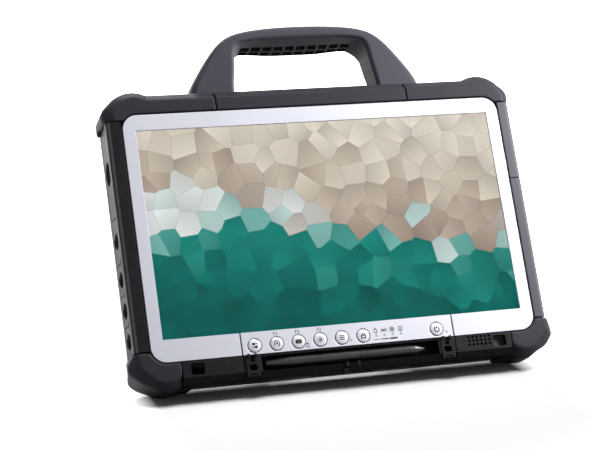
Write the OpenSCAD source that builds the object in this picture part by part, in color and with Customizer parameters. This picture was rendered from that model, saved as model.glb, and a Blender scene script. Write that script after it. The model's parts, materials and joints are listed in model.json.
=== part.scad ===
// Rugged tablet computer with a carry handle, pen tray, side doors and a fold-out stand.
// Pieces are drawn upright: x to the right, y into the depth from the front face, z up from mid screen.
// The whole tablet then leans back on its lower guards and its stand.

/* [Stance] */
// Angle that the tablet leans back from upright
recline = 27.3; // [18:0.1:35]
// Angle of the opened stand behind the vertical
stand_lean = 15; // [10:0.5:24]

/* [Screen] */
// Width of the visible screen
screen_w = 294; // [260:1:330]
// Height of the visible screen
screen_h = 165.4; // [148:0.2:186]
// Border of the glass hidden behind the bezel
glass_border = 4; // [3:0.1:4.4]
// Thickness of the touch glass
glass_t = 1.6; // [1:0.1:2.4]
// Thickness of the display panel
lcd_t = 5; // [4.4:0.1:7]
// Thickness of the gasket between bezel and glass
gasket_t = 0.6; // [0.4:0.1:1.2]

/* [Bezel] */
// Bezel width beside the screen
bezel_side = 10; // [9:0.1:14]
// Bezel height above the screen
bezel_top = 12.7; // [10:0.1:18]
// Bezel height below the screen
bezel_bottom = 17.4; // [17:0.1:22]
// Thickness of the bezel plate
bezel_t = 2; // [1.6:0.1:2.6]
// Radius of the bezel's outer corners
bezel_corner = 12; // [8:0.5:14]
// Gap between the bezel and what surrounds it
bezel_gap = 1.2; // [0.6:0.1:2]
// Thickness of the bezel's rear skirt
skirt_t = 1.8; // [1.2:0.1:2]

/* [Keys] */
// Diameter of a key cap
key_d = 10; // [8:0.1:11]
// Spacing of the keys
key_pitch = 17.6; // [15.5:0.1:18.2]
// Distance of the first key from the left end of the key panel
key_in = 10.5; // [9:0.1:12.5]
// Distance of the power key from the right end of the key panel
power_in = 14.2; // [12:0.1:20]
// Height of the key row above the lower edge of the bezel
key_rise = 6.7; // [6.4:0.1:7.4]
// Travel of a key
key_travel = 1.2; // [0.6:0.1:1.6]
// Height of a key's dome in front of the bezel
key_dome = 0.9; // [0.3:0.1:1.4]
// Spacing of the status lights
led_pitch = 6.9; // [5:0.1:8]

/* [Case] */
// Width of the front face of the side rails
rail_w = 8; // [6:0.1:12]
// Width of the chamfer at the outer edge of the rails
rail_chamfer = 3.2; // [1.5:0.1:4.5]
// Thickness of the side doors
door_t = 4; // [3.4:0.1:5]
// Depth of the side doors
door_d = 17.6; // [15:0.1:19]
// Depth of the case behind the display, up to its rear rim
rim_d = 24.4; // [23.5:0.1:30]
// Height of the raised back over the rim
hump_h = 11; // [9:0.5:16]
// Wall thickness of the case
wall = 3; // [2:0.1:3.4]
// Thickness of the middle plate that carries the display and the board
plate_t = 2; // [1.2:0.1:3]
// Height of the front face below the bezel
low_face_h = 12.5; // [11.5:0.1:16]
// Height of the bevel below that face
low_bevel_h = 4.8; // [3:0.1:7]
// Depth of the covers and of the pen tray below the bezel
low_d = 16; // [14:0.1:18]

/* [Doors] */
// Height of each of the small doors on the left
small_door_h = 24.4; // [21:0.1:27]
// Height of the wide door on the left
wide_door_h = 36; // [28:0.1:44]
// Diameter of the round finger cups
cup_d = 15; // [10:0.1:16]
// Height of the battery's end cap on the right
battery_cap_h = 116.7; // [100:0.1:135]
// How far the battery reaches into the case
battery_d = 92; // [70:1:96]
// Thickness of the battery
battery_t = 17; // [12:0.1:18]

/* [Guards] */
// Height of the guards' front face above the bezel
guard_face = 17.2; // [14:0.1:22]
// Thickness of the guards over the case's top
guard_t = 9.4; // [7:0.1:11]
// Thickness of the guards in front of the case
guard_lip = 5; // [4:0.1:6]
// Thickness of the guards behind the rear rim
guard_rear = 3; // [2:0.1:5]
// Width of the bevel at the guards' front edge
guard_bevel = 7; // [4:0.1:9]
// How far the upper corners rise over the top edge
guard_peak = 3.1; // [2:0.1:5]
// Radius of the upper corners
top_corner_r = 24.5; // [22:0.5:30]
// Radius of the lower corners
low_corner_r = 23; // [21:0.5:26]
// How far the upper corners stand out past the rails
top_bulge = 0.8; // [0.5:0.1:3]
// How much wider the upper corners are at their rear
top_spread = 1.2; // [0:0.1:2]
// How far the lower corners stand out past the rails near their front
low_bulge = 5.1; // [3:0.1:6]
// How far the lower corners stand out past the rails at their rear
low_side = 1; // [0.5:0.1:2.5]
// Slope of the chamfer under the lower corners
corner_slope = 36.4; // [30:0.1:44]
// Half width of the middle top guard
top_mid_half = 80; // [74:0.5:88]
// Half width between the lower guards
low_half = 135; // [131:0.5:140]
// How far the guards reach under the lower covers
foot_reach = 9; // [6:0.5:24]
// Height of the guards' feet under the lower edge
foot_drop = 4.4; // [3:0.1:8]
// Depth of the flat worn on the feet where they stand
foot_flat = 1.6; // [1:0.1:2.2]

/* [Handle] */
// Half width of the handle at its base
handle_half = 97; // [92:0.5:104]
// Width of each handle leg at its base
leg_w = 36.5; // [30:0.5:40]
// Height of the handle's top over the case's top edge
handle_h = 54.1; // [46:0.1:68]
// Thickness of the grip from above
grip_t = 11; // [9:0.1:14]
// How far the grip's underside falls towards its rear
grip_drop = 5.6; // [0:0.1:6.4]
// Distance of the handle's front from the front face
handle_y = 8; // [7:0.1:10]
// Depth of the handle at its base
leg_d = 25; // [20:0.1:25.4]
// Depth of the grip
grip_d = 30; // [26:0.1:34]
// Number of lattice cells along the grip
grip_cells = 10; // [6:1:12]
// Thickness of the lattice ribs
rib_t = 1.6; // [1:0.1:2.4]

/* [Pen] */
// Diameter of the pen
pen_d = 9; // [7:0.1:9.4]
// Length of the pen with its tip
pen_len = 132; // [112:1:148]
// Length of the slot beyond both ends of the pen
slot_play = 13; // [8:0.5:18]
// Width of the tether eye at each end of the slot
eye_room = 14.5; // [13.5:0.5:17]
// Distance of the pen's axis behind the front face
pen_y = 6; // [5:0.1:7]

/* [Stand] */
// Half width of the stand
stand_half = 60; // [45:1:62]
// Thickness of the stand's plate
stand_t = 3.6; // [2.6:0.1:3.6]
// Height of the stand's hinge over mid screen
stand_hinge_z = 4; // [-6:0.5:10]
// Radius of the stand's hinge barrel
stand_barrel_r = 2.6; // [2.3:0.1:3]

/* [Hidden] */
$fn = 48;
// Clearance of seated pieces, clearance of moving pieces, and visible seam
fit = 0.2;
run = 0.3;
seam = 0.6;
far = 400;

// Display stack from the front
half_w = screen_w / 2;
half_h = screen_h / 2;
glass_y = bezel_t + gasket_t;
lcd_y = glass_y + glass_t + fit;
split_y = lcd_y + lcd_t + fit;
plate_back = split_y + plate_t;

// Pen slot, and the key panel over it
slot_len = pen_len + slot_play;
panel_half = slot_len / 2 + eye_room;
key_first = panel_half - key_in;
power_x = panel_half - power_in;

// Bezel and the pocket that it sits in
bez_x = half_w + bezel_side;
bez_hi = half_h + bezel_top;
bez_lo = -half_h - bezel_bottom;
pocket_x = bez_x + bezel_gap;
pocket_hi = bez_hi + bezel_gap;
pocket_r = bezel_corner + bezel_gap;

// Case outline
rail_x = pocket_x + rail_w;
rail_side = rail_x + rail_chamfer;
door_set_back = 0.9;
side_x = rail_side - door_set_back;
wall_x = side_x - door_t;
inner_x = wall_x - wall;
rim_y = split_y + rim_d;
back_y = rim_y + hump_h;
top_z = pocket_hi + guard_face;
core_hi = top_z - guard_t;
low_hi = bez_lo - seam;
crease_z = bez_lo - low_face_h - seam;
low_z = crease_z - low_bevel_h;
core_lo = low_z + 1;
core_cut_hi = 14;
core_cut_lo = 20;
cavity_lo = low_hi + wall;
cavity_hi = core_hi - wall;

// Side doors, from below on the left
side_hi = bez_hi - 4.4;
side_lo = bez_lo + 9.1;
door_y0 = split_y + 0.4;
door_y1 = split_y + door_d;
door_seams = [side_lo, side_lo + small_door_h, side_lo + 2 * small_door_h, side_lo + 3 * small_door_h,
              side_lo + 3 * small_door_h + wide_door_h, side_hi];
hinge_r = door_t / 2;
hinge_x = side_x - hinge_r;
left_hinge_y = door_y0 + hinge_r;
right_hinge_y = door_y1 - hinge_r;
door_pin_r = 0.9;
lug_t = 2.4;
lug_r = 1.6;
right_seam = side_lo + battery_cap_h;
cup_out = 4.6;
port_edge = 6;
port_y0 = left_hinge_y + 4;
port_y1 = door_y1 - 3;
card_edge = 7;
card_y0 = split_y + 4;
card_y1 = split_y + 14;

// Guards
guard_back = rim_y + guard_rear;
guard_round = 6;
guard_tail = 2;
foot_slope = 40;
bulge_slope = 32;
top_corner_x = rail_side + top_bulge - top_corner_r;
top_corner_z = top_z + guard_peak - top_corner_r;
foot_z = low_z - foot_drop;
low_corner_x = rail_side + low_side - low_corner_r;
low_corner_z = foot_z + low_corner_r;
corner_flat = 3;
foot_bar_z = foot_z + 2;
foot_back = guard_back - 1;
floor_d = (guard_back - guard_round) * sin(recline) - foot_z * cos(recline) - foot_flat;

// Handle outline, right half from its base to the middle of the grip
leg_base_z = core_hi;
handle_top = top_z + handle_h;
handle_out = [[handle_half + 1, leg_base_z], [handle_half, top_z + 2],
              [handle_half - 10.5, handle_top - 34.9], [handle_half - 27, handle_top - 12.4],
              [handle_half - 43, handle_top - 3.4], [22, handle_top], [0, handle_top]];
handle_in = [[handle_half - leg_w, leg_base_z], [handle_half - leg_w, top_z + 3],
             [handle_half - leg_w - 3, handle_top - 34], [handle_half - leg_w - 5, handle_top - grip_t - 3],
             [handle_half - leg_w - 18, handle_top - grip_t - 0.5], [20, handle_top - grip_t],
             [0, handle_top - grip_t]];
handle_steps = 4;
leg_mid = handle_half - leg_w / 2;
leg_screw_gap = 9;
leg_screws = [for (s = [-leg_screw_gap, leg_screw_gap]) [leg_mid + s, handle_y + leg_d / 2]];
leg_screw_r = 2;
leg_screw_grip = 10;

// Lower edge
tray_half = panel_half - seam / 2;
cover_in = panel_half + seam / 2;
cover_out = low_half - seam / 2;
pen_z = low_hi - 6.2;
pen_start = 0.28 * slot_play - slot_len / 2;
pen_end = pen_start + pen_len;
slot_hi = pen_z + 4.9;
slot_lo = pen_z - 6.4;
slot_d = pen_y + pen_d / 2 + 1;
eye_x = (slot_len + eye_room) / 2;
eye_z = pen_z - 3.1;
eye_low = eye_z - 6.8;
eye_out = 0.6;
cover_skin = 2;
cover_w = cover_out - cover_in;
pocket_w = 0.22 * cover_w;
pocket_h = 8.6;
pocket_d = 4.8;
pocket_wall = 1.2;
pocket_lo = crease_z + 1.8;
grille_pitch = 0.074 * cover_w;
grille_row = 3;
grille_r = 0.28 * grille_pitch;
speaker_x = cover_in + 0.42 * cover_w;
speaker_half = 0.21 * cover_w;
dock_half = 26;
dock_y0 = low_d + wall + 2;
dock_y1 = rim_y - wall - 3;

// Battery bay behind the right side
bat_lo = side_lo + 6;
bat_hi = right_seam - 6;
bat_y0 = plate_back + 1.6;
bat_y1 = bat_y0 + battery_t;
bat_x0 = wall_x - battery_d;
latch_z = (side_lo + right_seam) / 2;
latch_travel = 4;
latch_half = 4;
latch_deep = 2.2;
bay_rib = 2;

// Stand
stand_y = back_y - stand_barrel_r - 0.2;
recess_d = 2 * stand_barrel_r + 0.5;
hinge_height = floor_d + stand_hinge_z * cos(recline) - stand_y * sin(recline);
stand_len = hinge_height / cos(stand_lean);
stand_fold = recline + stand_lean;
stand_pin_r = 1.25;
stand_foot_h = 7;
stand_bar = 16;
pin_out = 7;
pin_in = 9;

// Main board with places along its width and up its height, each from 0 to 1, and the drive below it
board_y = plate_back + 3.4;
board_t = 1.6;
board_face = board_y + board_t;
board_x0 = 24 - inner_x;
board_x1 = bat_x0 - 9;
board_lo = 0;
board_hi = cavity_hi - 11;
post_r = 3;
post_in = 6;
board_posts = [for (x = [board_x0 + post_in, board_x1 - post_in],
                    z = [board_lo + post_in, board_hi - post_in]) [x, z]];
function along_board(f) = board_x0 + f * (board_x1 - board_x0);
function up_board(f) = board_lo + f * (board_hi - board_lo);
chip_t = 2;
socket_t = 2.4;
cpu_x = along_board(0.4);
cpu_z = up_board(0.53);
memory_x = along_board(0.68);
memory_lo = up_board(0.13);
memory_w = 30;
memory_h = 67.6;
radio_x = along_board(0.87);
radio_lo = up_board(0.11);
radio_w = 22;
radio_h = 42;
cell_x = board_x0 + 26;
cell_r = 10;
drive_side = 43.5;
drive_low = 17.7;
drive_w = 100;
drive_h = 69.8;
drive_t = 7;

// Key board
key_flange_y = bezel_t + run;
key_flange_t = 0.8;
key_board_y = key_flange_y + key_flange_t + key_travel + 1.4;
key_z = bez_lo + key_rise;
panel_posts = [-key_first + key_pitch / 2, -key_first + 4.5 * key_pitch, power_x - 12, power_x + 10];

// Screws that close the case and feet on its back
screw_r = 1.5;
screw_head_r = 3;
boss_r = 4;
sunk = 4;
screw_side = 33.5;
screw_gap = 48;
screw_right = 56.5;
screw_hi = cavity_hi - 25.4;
screw_lo = cavity_lo + 5.2;
case_screws_at = [[screw_side - inner_x, screw_hi], [radio_x, screw_hi], [inner_x - screw_right, screw_hi],
                  [screw_side - inner_x, screw_lo], [screw_side + screw_gap - inner_x, screw_lo],
                  [inner_x - screw_right, screw_lo]];
foot_r = 7;
foot_side = 52.5;
foot_high = 42.4;
foot_low = 51;
feet_at = [for (s = [-1, 1], z = [core_hi - foot_high, core_lo + foot_low]) [s * (wall_x - foot_side), z]];

// Where the leaning tablet stands on its frame
lean_back = (handle_y + grip_d) * cos(recline) + handle_top * sin(recline) - 1.8;
lean_front = eye_low * sin(recline) - eye_out * cos(recline);
mid_y = (lean_back + lean_front) / 2;

// Shared shapes

// A box between two opposite corners
module block(a, b) {
  translate(a) cube(b - a);
}

// A front outline in x and z, given depth from y0 to y1
module slab(y0, y1) {
  translate([0, y1, 0]) rotate([90, 0, 0]) linear_extrude(y1 - y0) children();
}

// A side profile in y and z, drawn out from x0 to x1
module bar(x0, x1) {
  translate([x0, 0, 0]) rotate([90, 0, 90]) linear_extrude(x1 - x0) children();
}

// A plan in x and y, drawn up from z0 to z1
module column(z0, z1) {
  translate([0, 0, z0]) linear_extrude(z1 - z0) children();
}

// A round rod along y
module rod_y(x, z, r, y0, y1) {
  translate([x, y0, z]) rotate([-90, 0, 0]) cylinder(r = r, h = y1 - y0);
}

// A round rod along x
module rod_x(y, z, r, x0, x1) {
  translate([x0, y, z]) rotate([0, 90, 0]) cylinder(r = r, h = x1 - x0);
}

// A round rod along z
module rod_z(x, y, r, z0, z1) {
  translate([x, y, z0]) cylinder(r = r, h = z1 - z0);
}

// The children on the right, and again on the left
module both_sides() {
  for (s = [0, 1]) mirror([s, 0, 0]) children();
}

// A rectangle in x and z with round corners
module rounded(x0, x1, z0, z1, r) {
  translate([x0 + r, z0]) square([x1 - x0 - 2 * r, z1 - z0]);
  translate([x0, z0 + r]) square([x1 - x0, z1 - z0 - 2 * r]);
  for (x = [x0 + r, x1 - r], z = [z0 + r, z1 - r]) translate([x, z]) circle(r);
}

// Front outline of the case under its guards, widened by grow
module core_outline(grow) {
  x = wall_x + grow;
  hi = core_hi + grow;
  lo = core_lo - grow;
  polygon([[-x, lo + core_cut_lo], [-x + core_cut_lo, lo], [x - core_cut_lo, lo], [x, lo + core_cut_lo],
           [x, hi - core_cut_hi], [x - core_cut_hi, hi], [core_cut_hi - x, hi], [-x, hi - core_cut_hi]]);
}

// Outline of the hollow inside the case, made smaller by inset
module cavity_outline(inset) {
  x = inner_x - inset;
  hi = cavity_hi - inset;
  lo = cavity_lo + inset;
  polygon([[-x, lo], [x, lo], [x, hi - core_cut_hi], [x - core_cut_hi, hi], [core_cut_hi - x, hi],
           [-x, hi - core_cut_hi]]);
}

// The case as a solid, widened by grow, with the step that the lower covers and the tray sit in
module core_solid(grow) {
  difference() {
    slab(guard_lip - grow, rim_y + grow) core_outline(grow);
    block([-far, -far, -far], [far, low_d + fit - grow, low_hi - grow]);
  }
}

// Front opening that the bezel lies in
module bezel_pocket() {
  rounded(-pocket_x, pocket_x, low_hi, pocket_hi, pocket_r);
}

// Raised back of the case with sloping sides, made smaller by inset
module hump(inset) {
  top_inset = 9;
  x = wall_x - 13 - inset;
  hi = core_hi - 14 - inset;
  lo = core_lo + 5 + inset;
  y0 = rim_y - wall - 1;
  y1 = back_y - inset;
  intersection() {
    column(-far, far)
      polygon([[-x, y0], [x, y0], [x, rim_y], [x - top_inset, y1], [top_inset - x, y1], [-x, rim_y]]);
    bar(-far, far)
      polygon([[y0, lo], [y0, hi], [rim_y, hi], [y1, hi - top_inset], [y1, lo + top_inset], [rim_y, lo]]);
  }
}

// Recess for the folded stand, widened by grow
module stand_recess(grow) {
  half = stand_half + run + grow;
  block([-half, back_y - recess_d - grow, -far], [half, far, stand_hinge_z + stand_barrel_r + 1 + grow]);
}

// Half space under the table that the leaning tablet stands on
module below_table() {
  rotate([recline, 0, 0]) translate([-far, -far, -floor_d - far]) cube([2 * far, 2 * far, far]);
}

// Case

module front_frame() {
  color("dimgray") difference() {
    union() {
      slab(guard_lip, split_y) intersection() {
        core_outline(0);
        translate([-far, low_hi + fit]) square(2 * far);
      }
      slab(split_y - 1, plate_back) cavity_outline(fit);
      // Left rail with its chamfer
      column(side_lo + seam / 2, side_hi - seam / 2)
        polygon([[-pocket_x, 0], [-rail_x, 0], [-rail_side, rail_chamfer], [-rail_side, split_y - seam],
                 [-wall_x, split_y], [-pocket_x, split_y]]);
      for (p = board_posts) rod_y(p[0], p[1], post_r, plate_back - 1, board_y);
    }
    slab(-1, split_y) bezel_pocket();
    block([-low_half, -1, -far], [low_half, split_y, 0]);
    // Right side left open for the door and the battery cap that wrap round it
    block([pocket_x - 1, -1, side_lo], [far, split_y + 1, side_hi]);
    for (p = board_posts) rod_y(p[0], p[1], screw_r, plate_back, board_y + 1);
    for (p = case_screws_at) rod_y(p[0], p[1], screw_r, split_y - 1, plate_back + 1);
  }
}

module rear_cover() {
  color("dimgray") difference() {
    union() {
      difference() {
        union() {
          intersection() {
            core_solid(0);
            block([-far, split_y, -far], [far, far, far]);
          }
          hump(0);
          // Edge strips behind the side doors
          for (s = [-1, 1])
            block([min(s * inner_x, s * side_x), door_y1 + run, side_lo + seam / 2],
                  [max(s * inner_x, s * side_x), rim_y, side_hi - guard_tail - seam]);
        }
        slab(split_y - 1, rim_y - wall) cavity_outline(0);
        block([core_cut_lo - inner_x, low_d + wall, core_lo + wall],
              [inner_x - core_cut_lo, rim_y - wall, cavity_lo + 1]);
        difference() {
          hump(wall);
          stand_recess(wall);
        }
      }
      // Screw bosses
      for (p = case_screws_at) rod_y(p[0], p[1], boss_r, plate_back + fit, back_y - 1);
      // Walls of the battery bay
      bay_wall(bat_lo - fit - bay_rib, bat_lo - fit, bat_x0 - bay_rib, inner_x + 1);
      bay_wall(bat_hi + fit, bat_hi + fit + bay_rib, bat_x0 - bay_rib, inner_x + 1);
      bay_wall(bat_lo - 1, bat_hi + 1, bat_x0 - bay_rib - fit, bat_x0 - fit);
      // Hinge lugs of the left doors and of the card door
      for (z = door_seams) hinge_lug(-1, left_hinge_y, z, side_lo);
      for (z = [right_seam, side_hi]) hinge_lug(1, right_hinge_y, z, right_seam);
    }
    stand_recess(0);
    // Openings for the ports on the left, the battery and the cards on the right
    for (i = [0 : 4]) port_hole(i);
    block([bat_x0, bat_y0 - fit, bat_lo - fit], [far, bat_y1 + fit, bat_hi + fit]);
    card_mouth(0.3);
    // Bores for the screws, the stand's pins and the hinge pins
    for (p = case_screws_at) {
      rod_y(p[0], p[1], screw_r + 0.2, plate_back, far);
      rod_y(p[0], p[1], screw_head_r + 0.2, back_y - sunk, far);
    }
    both_sides() rod_x(stand_y, stand_hinge_z, stand_pin_r + 0.05, stand_half, stand_half + pin_out + 1);
    rod_z(-hinge_x, left_hinge_y, door_pin_r + 0.05, side_lo - 3, side_hi + 3);
    rod_z(hinge_x, right_hinge_y, door_pin_r + 0.05, right_seam - 3, side_hi + 3);
    both_sides() for (p = leg_screws) rod_z(p[0], p[1], leg_screw_r + 0.1, cavity_hi - 1, far);
    // Keeper for the battery latch
    block([side_x - latch_deep - fit, door_y1, latch_z - latch_half - 0.5],
          [side_x + 1, door_y1 + run + latch_travel + 0.4, latch_z + latch_half + 0.5]);
    dock_mouth(0.3);
    for (p = feet_at) rod_y(p[0], p[1], foot_r + 0.2, back_y - 1, far);
  }
}

// A rib of the battery bay between two heights
module bay_wall(z0, z1, x0, x1) {
  block([x0, plate_back + fit, z0], [x1, back_y - recess_d - 1, z1]);
}

// A lug on the side wall that carries a hinge pin at height z, kept above the lowest door edge
module hinge_lug(side, y, z, lowest) {
  z0 = min(max(z - lug_t / 2, lowest + seam / 2), side_hi - seam / 2 - lug_t);
  mirror([side > 0 ? 0 : 1, 0, 0]) {
    block([wall_x - 1, y - lug_r, z0], [hinge_x, y + lug_r, z0 + lug_t]);
    rod_z(hinge_x, y, lug_r, z0, z0 + lug_t);
  }
}

// Front pieces

module front_bezel() {
  color("silver") difference() {
    union() {
      slab(0, bezel_t) rounded(-bez_x, bez_x, bez_lo, bez_hi, bezel_corner);
      slab(bezel_t - 0.5, split_y) difference() {
        rounded(-bez_x, bez_x, bez_lo, bez_hi, bezel_corner);
        rounded(skirt_t - bez_x, bez_x - skirt_t, bez_lo + skirt_t, bez_hi - skirt_t, bezel_corner - skirt_t);
      }
    }
    block([-half_w, -1, -half_h], [half_w, split_y, half_h]);
    block([-panel_half - seam / 2, -1, -far], [panel_half + seam / 2, far, -half_h + 1]);
  }
}

module button_panel() {
  color("silver") difference() {
    union() {
      block([seam / 2 - panel_half, 0, bez_lo], [panel_half - seam / 2, bezel_t, -half_h]);
      for (x = panel_posts) rod_y(x, key_z, 1.8, bezel_t - 0.5, split_y);
    }
    for (x = key_xs()) key_well(x);
    for (p = led_spots()) rod_y(p[0], p[1], led_r() + 0.1, -1, bezel_t + 1);
  }
}

// Key positions along the row, with the power key last
function key_xs() = concat([for (i = [0 : 5]) i * key_pitch - key_first], [power_x]);

// Status lights right of the keys, one by the fifth key and one by the power key
function led_r() = 0.8;
function led_spots() = concat([for (i = [0 : 3]) [5.6 * key_pitch - key_first + i * led_pitch, key_z - 0.8]],
  [[4.4 * key_pitch - key_first, key_z - 2.6], [power_x + 7.9, key_z - 2.9]]);

// Hole in the panel with a shallow dished rim
module key_well(x) {
  translate([x, 0, key_z]) rotate([-90, 0, 0]) {
    translate([0, 0, -1]) cylinder(d = key_d + 2 * run, h = bezel_t + 2);
    translate([0, 0, -0.01]) cylinder(r1 = key_d / 2 + 1.1, r2 = key_d / 2 + run, h = 0.9);
  }
}

// A round key with a domed face and a flange behind the panel
module key(i) {
  r = key_d / 2;
  y = key_flange_y;
  color("gainsboro") translate([key_xs()[i], 0, key_z]) rotate([-90, 0, 0]) rotate_extrude()
    polygon(concat([for (a = [0 : 15 : 90]) [r * sin(a), -key_dome * cos(a)]],
      [[r, y], [r + 0.7, y], [r + 0.7, y + key_flange_t], [0, y + key_flange_t]]));
}

module display_gasket() {
  color("black") slab(bezel_t, glass_y) difference() {
    square([screen_w + 2 * glass_border, screen_h + 2 * glass_border], center = true);
    square([screen_w + 2, screen_h + 2], center = true);
  }
}

module touch_glass() {
  color("lightsteelblue") slab(glass_y, glass_y + glass_t)
    rounded(-half_w - glass_border, half_w + glass_border, -half_h - glass_border, half_h + glass_border, 2);
}

module lcd_panel() {
  color("teal") difference() {
    block([-half_w - glass_border, lcd_y, -half_h - glass_border],
          [half_w + glass_border, lcd_y + lcd_t, half_h + glass_border]);
    // Stepped rear edge of the backlight frame
    slab(lcd_y + lcd_t - 1, far) difference() {
      square([2 * far, 2 * far], center = true);
      square([screen_w, screen_h], center = true);
    }
  }
}

module button_board() {
  color("darkgreen") difference() {
    union() {
      block([2 - panel_half, key_board_y, bez_lo + 0.8], [panel_half - 2, key_board_y + 1, key_z + 4.8]);
      for (x = key_xs()) rod_y(x, key_z, 2.4, key_board_y - 1.2, key_board_y + 0.5);
      for (p = led_spots()) rod_y(p[0], p[1], 0.7, glass_y + 0.4, key_board_y + 0.5);
      // Stays that reach back to the frame
      for (x = [-key_first + 0.5 * key_pitch + 4, power_x - 6])
        block([x - 1, key_board_y + 0.5, key_z], [x + 1, split_y, key_z + 4]);
    }
    for (x = panel_posts) rod_y(x, key_z, 2, 0, split_y + 1);
  }
}

module led_lenses() {
  color("white") for (p = led_spots()) rod_y(p[0], p[1], led_r(), 0.1, bezel_t + 0.4);
}

// Guards

// A round corner pad with a bevelled front edge, and with its own radius at the rear
module guard_disc(x, z, r, rear) {
  b = guard_bevel;
  c = guard_round;
  translate([x, 0, z]) rotate([-90, 0, 0]) rotate_extrude($fn = 96)
    polygon(concat([[0, 0], [r - b, 0], [r - b * 0.2, b * 0.75], [r, b * 1.3]],
      [for (a = [0 : 22.5 : 90]) [rear - c + c * cos(a), guard_back - c + c * sin(a)]], [[0, guard_back]]));
}

// Cross-section of the straight top guard
module guard_strip() {
  b = guard_bevel;
  c = guard_round;
  polygon(concat([[0, pocket_hi], [0, top_z - b], [b * 0.75, top_z - b * 0.2], [b * 1.3, top_z]],
    [for (a = [0 : 22.5 : 90]) [guard_back - c + c * sin(a), top_z - c + c * cos(a)]],
    [[guard_back, pocket_hi]]));
}

// What the guards leave free: the case, the bezel, the raised back and the handle legs
module guard_free() {
  core_solid(fit);
  slab(-1, rim_y) bezel_pocket();
  slab(rim_y - 1, far) core_outline(-9);
  hump(-2 * fit);
  both_sides() block([handle_half - leg_w - 1, handle_y - fit, core_hi - 1],
                     [handle_half + 1.6, handle_y + leg_d + 1 + fit, far]);
}

module guard_top_corner() {
  // Distance from mid screen to the corner's outside, along the 45 degree line
  reach = (top_corner_x + top_corner_z) / sqrt(2) + top_corner_r;
  difference() {
    union() {
      guard_disc(top_corner_x, top_corner_z, top_corner_r, top_corner_r + top_spread);
      bar(top_mid_half + seam / 2, top_corner_x) guard_strip();
    }
    guard_free();
    // Flat behind the front edge that leans in towards the rear
    rotate([0, -45, 0]) column(-far, far)
      polygon([[reach + 0.3, guard_bevel * 1.3], [reach - 2, guard_back], [reach - 2, guard_back + 1],
               [far, guard_back + 1], [far, guard_bevel * 1.3]]);
    bar(-far, far) polygon([[-1, -far], [-1, side_hi + seam / 2], [door_y1 + run, side_hi + seam / 2],
                            [door_y1 + run, side_hi - guard_tail], [far, side_hi - guard_tail], [far, -far]]);
  }
}

module guard_top_right() {
  color("darkslategray") guard_top_corner();
}

module guard_top_left() {
  color("darkslategray") mirror([1, 0, 0]) guard_top_corner();
}

module guard_top_centre() {
  color("darkslategray") difference() {
    bar(seam / 2 - top_mid_half, top_mid_half - seam / 2) guard_strip();
    guard_free();
  }
}

module guard_bottom_corner() {
  b = guard_bevel;
  c = guard_round;
  side = rail_side + low_side;
  // Distance from mid screen to the corner's outside, along the 45 degree line
  reach = (low_corner_x - low_corner_z) / sqrt(2) + low_corner_r - 0.6;
  color("darkslategray") difference() {
    union() {
      guard_disc(low_corner_x, low_corner_z, low_corner_r, low_corner_r);
      // Bulge beside the rail, widest near the front
      column(low_corner_z - 0.5 * low_corner_r, side_lo)
        polygon([[low_corner_x, 0], [rail_x + 1.5, 0], [rail_side + low_bulge, b * 1.3],
                 [side, guard_back - c], [side - 0.3 * c, guard_back - 0.3 * c], [side - c, guard_back],
                 [low_corner_x, guard_back]]);
      // Foot that reaches under the lower cover
      difference() {
        bar(low_half - foot_reach, low_corner_x)
          polygon([[low_d - 3, low_z - fit], [low_d, foot_bar_z], [foot_back - c, foot_bar_z],
                   [foot_back, foot_bar_z + c], [foot_back, low_z + 8], [low_d, low_z + 8]]);
        translate([low_half - foot_reach, 0, foot_bar_z]) rotate([0, -foot_slope, 0])
          block([-far, 0, -far], [0, far, far]);
      }
    }
    guard_free();
    block([-far, -1, low_z - fit], [low_half, low_d + 2 * fit, low_hi]);
    block([-far, -1, side_lo - seam / 2], [far, far, far]);
    // Run-out of the bulge towards the rail
    translate([rail_side + 0.2, 0, side_lo]) rotate([0, -bulge_slope, 0])
      block([0, -1, -far], [far, far, far]);
    // Bevel along the bulge's lower front edge, and the chamfer under the corner
    rotate([0, 45, 0]) column(-far, far)
      polygon([[reach - b, -1], [reach - b, 0], [reach - b * 0.2, b * 0.75], [reach, b * 1.3], [reach, far],
               [far, far], [far, -1]]);
    translate([low_corner_x + corner_flat, 0, foot_z]) rotate([0, -corner_slope, 0])
      block([-far, -1, -far], [far, far, 0]);
    below_table();
  }
}

module guard_bottom_right() {
  guard_bottom_corner();
}

module guard_bottom_left() {
  mirror([1, 0, 0]) guard_bottom_corner();
}

// Handle

// A point on a smooth curve led by the points p, with its ends on the first and last point
function led(p, i, t) =
  let(a = i == 0 ? p[0] : (p[i] + p[i + 1]) / 2, c = i == len(p) - 3 ? p[i + 2] : (p[i + 1] + p[i + 2]) / 2)
  (1 - t) * (1 - t) * a + 2 * t * (1 - t) * p[i + 1] + t * t * c;
function curve(p) = concat(
  [for (i = [0 : len(p) - 3], k = [0 : handle_steps - 1]) led(p, i, k / handle_steps)], [p[len(p) - 1]]);
function flipped(p) = [for (i = [len(p) - 2 : -1 : 0]) [-p[i][0], p[i][1]]];

// Both edges of the arch from the right base to the left base
function arch(p) = let(half = curve(p)) concat(half, flipped(half));

// Section of the handle between an outer and an inner edge point, as a ring of points with round corners
ring_steps = 4;
function handle_ring(o, n, y0, y1, drop) =
  let(w = norm(o - n), d = (o - n) / w, r_out = min(5.5, w / 2 - 0.3), r_in = min(3.5, w / 2 - 0.3))
  [for (q = [[w - r_out, y0 + r_out, r_out, -90], [w - r_out, y1 - r_out, r_out, 0],
             [r_in - drop, y1 - r_in, r_in, 90], [r_in, y0 + r_in, r_in, 180]],
        k = [0 : ring_steps - 1])
     let(a = q[3] + 90 * k / (ring_steps - 1), s = q[0] + q[2] * cos(a), y = q[1] + q[2] * sin(a))
     [n[0] + d[0] * s, y, n[1] + d[1] * s]];

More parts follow.
